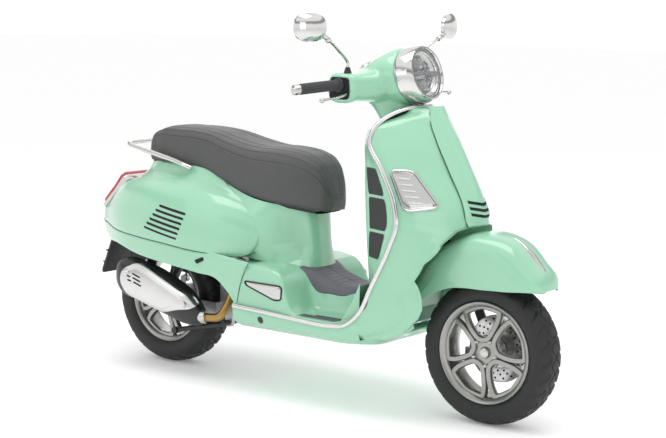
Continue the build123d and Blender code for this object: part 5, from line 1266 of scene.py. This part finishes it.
u, v = uv(90, 96)
body_m = muffler(-724 + 406 * u, 2 * np.pi * v)
can = grid(ends_closed(body_m[:, :-1]), wrap_v=True)
collar_m = lathe([(20, -8), (24, -8), (25, -6), (25, 14), (23, 16), (0, 16)], (-322, -171, 226), (1, 0.33, 0), 48)
make("silencer_can", [can, kind(collar_m, 1)], [satin_black, polished], "power_unit", "exhaust_silencer")
guard = rounded([(-676, 322), (-664, 362), (-606, 392), (-556, 378), (-440, 332), (-345, 292), (-326, 268),
    (-346, 254), (-400, 246), (-470, 226), (-560, 244), (-646, 268)], 24, 8)
guard_mid = np.array([-505.0, 306])
u, v = uv(40, len(guard) + 1)
plan = guard_mid + (np.concatenate([guard, guard[:1]])[None] - guard_mid) * u[..., None]
mid, tall, wide = np.moveaxis(through(muffler_x, muffler_rows, plan[..., 0]), -1, 0)
ratio = np.clip(np.abs(plan[..., 1] - mid) / (tall + 6), 0, 0.985)
guard_y = -172 - (wide + 6) * (1 - ratio**2.6) ** (1 / 2.6)
edge_drop = 2.5 * np.clip((u - 0.94) / 0.06, 0, 1) ** 2
emboss = 2.0 * smooth_step(u, 0.80, 0.86) - 2.0
guard_part = grid(stack(plan[..., 0], guard_y + edge_drop + emboss + 2, plan[..., 1]), inside=(-505, -120, 306))


def on_guard(x, z, proud):
    """Point on the heat shield's face, a little proud of it."""
    mid, tall, wide = through(muffler_x, muffler_rows, np.array([x]))[0]
    ratio = min(abs(z - mid) / (tall + 6), 0.985)
    return np.array([x, -172 - (wide + 6) * (1 - ratio**2.6) ** (1 / 2.6) - proud, z])


guard_bits = [kind(lathe([(0, 2), (5, 2), (6, 0), (11, 0), (12, -2), (12, -6)], on_guard(x, z, 0.6), (0, -1, 0),
    32), 0) for x, z in ((-640, 352), (-372, 268))]
# Painted shade: the heat shield's slots are near-black tubes standing for the shadow inside them.
for x, z, reach_x in ((-610, 352, 36), (-606, 337, 36), (-602, 322, 36), (-634, 343, 14), (-630, 328, 14)):
    guard_bits.append(kind(tube([on_guard(x, z, 0.2), on_guard(x + reach_x / 2, z - reach_x * 0.14, 0.2),
        on_guard(x + reach_x, z - reach_x * 0.28, 0.2)], 2.8, 14, 10), 1))
make("silencer_guard", [guard_part] + guard_bits, [shield_alloy, painted_gap_shade], "power_unit", "exhaust_shield")
pipe = tube([(-322, -171, 226), (-290, -162, 225), (-262, -150, 230), (-246, -130, 262), (-240, -108, 310),
    (-240, -88, 370), (-240, -62, 424)], 14.5, 70, 24)
ribs = [lathe([(40, -2), (58, -1.2), (58, 1.2), (40, 2)], (-262 + 30 * s, -20, 325 + 110 * s), (0.26, 0, 0.96),
    40, closed=True)
        for s in np.linspace(0.1, 0.95, 9)]
make("exhaust_pipe", pipe, brass, "power_unit")
make("cylinder_fins", ribs, cast_alloy, "power_unit")

# Floor, light and camera ----------------------------------------------------------------
camera = bpy.data.objects.new("camera", bpy.data.cameras.new("camera"))
bpy.context.scene.collection.objects.link(camera)
bpy.context.scene.camera = camera
yaw, pitch, roll = np.radians((37.4966, 7.834, 0.910))
ahead = np.array([-np.sin(yaw) * np.cos(pitch), np.cos(yaw) * np.cos(pitch), -np.sin(pitch)])
level = np.cross(ahead, (0, 0, 1))
level /= np.linalg.norm(level)
upright = np.cross(level, ahead)
columns = np.stack([np.cos(roll) * level + np.sin(roll) * upright,
    np.cos(roll) * upright - np.sin(roll) * level, -ahead], 1)
place = (3.34206, -4.23874, 1.33220)
camera.matrix_world = Matrix([(*row, p) for row, p in zip(columns.tolist(), place)] + [(0, 0, 0, 1)])
camera.data.lens = 85.77
camera.data.sensor_width = 36


def light(name, place, target, size, power):
    """A large soft lamp that looks at a point."""
    lamp = bpy.data.objects.new(name, bpy.data.lights.new(name, "AREA"))
    lamp.data.shape = "RECTANGLE"
    lamp.data.size, lamp.data.size_y = size
    lamp.data.energy = power
    lamp.location = place
    lamp.rotation_euler = (Vector(place) - Vector(target)).to_track_quat("Z", "Y").to_euler()
    bpy.context.scene.collection.objects.link(lamp)


light("overhead_box", (0.2, -0.4, 3.4), (0, 0, 0), (3.6, 1.6), 52)
light("front_box", (4.2, -2.4, 1.9), (0.3, 0, 0.6), (2.2, 2.4), 16)
light("near_box", (-1.8, -4.2, 2.2), (-0.2, 0, 0.6), (2.6, 1.6), 12)
light("far_box", (-2.6, 3.4, 2.4), (0, 0, 0.7), (2.6, 1.8), 12)
world = bpy.data.worlds.new("studio")
bpy.context.scene.world = world
world.use_nodes = True
sky = world.node_tree
sky.nodes["Background"].inputs[1].default_value = 1.12
toward = sky.nodes.new("ShaderNodeTexCoord")
parts = sky.nodes.new("ShaderNodeSeparateXYZ")
bands = sky.nodes.new("ShaderNodeValToRGB")
stops = [(0.0, 1.0), (0.16, 1.0), (0.27, 0.30), (0.40, 0.42), (0.52, 1.0), (0.78, 1.0), (0.9, 0.55), (1.0, 0.5)]
while len(bands.color_ramp.elements) < len(stops):
    bands.color_ramp.elements.new(0.5)
for stop, (at, shade) in zip(bands.color_ramp.elements, stops):
    stop.position = at
    stop.color = (shade, shade, shade, 1)
sky.links.new(toward.outputs["Generated"], parts.inputs[0])
sky.links.new(parts.outputs[2], bands.inputs[0])
sky.links.new(bands.outputs[0], sky.nodes["Background"].inputs[0])
backdrop = Finish("studio_floor", (0.985, 0.985, 0.985), 0.9, Specular_IOR_Level=0.0,
                  Emission_Color=(1, 1, 1, 1), Emission_Strength=0.15)
backdrop.shades(backdrop.noise(0.5), 0.995, 1.0)
sheet_u, sheet_v = np.meshgrid(np.linspace(-1, 1, 60), np.linspace(-1, 1, 60), indexing="ij")
floor_mesh = bpy.data.meshes.new("studio_floor")
floor_points = stack(40 * sheet_u, 40 * sheet_v, 0 * sheet_u)
floor_verts, floor_faces = grid(floor_points, inside=(0, 0, -5))
floor_mesh.from_pydata(floor_verts.tolist(), [], floor_faces.tolist())
floor_mesh.materials.append(backdrop.material)
ground = bpy.data.objects.new("studio_floor", floor_mesh)
bpy.context.scene.collection.objects.link(ground)
bpy.context.scene.view_settings.view_transform = "Standard"
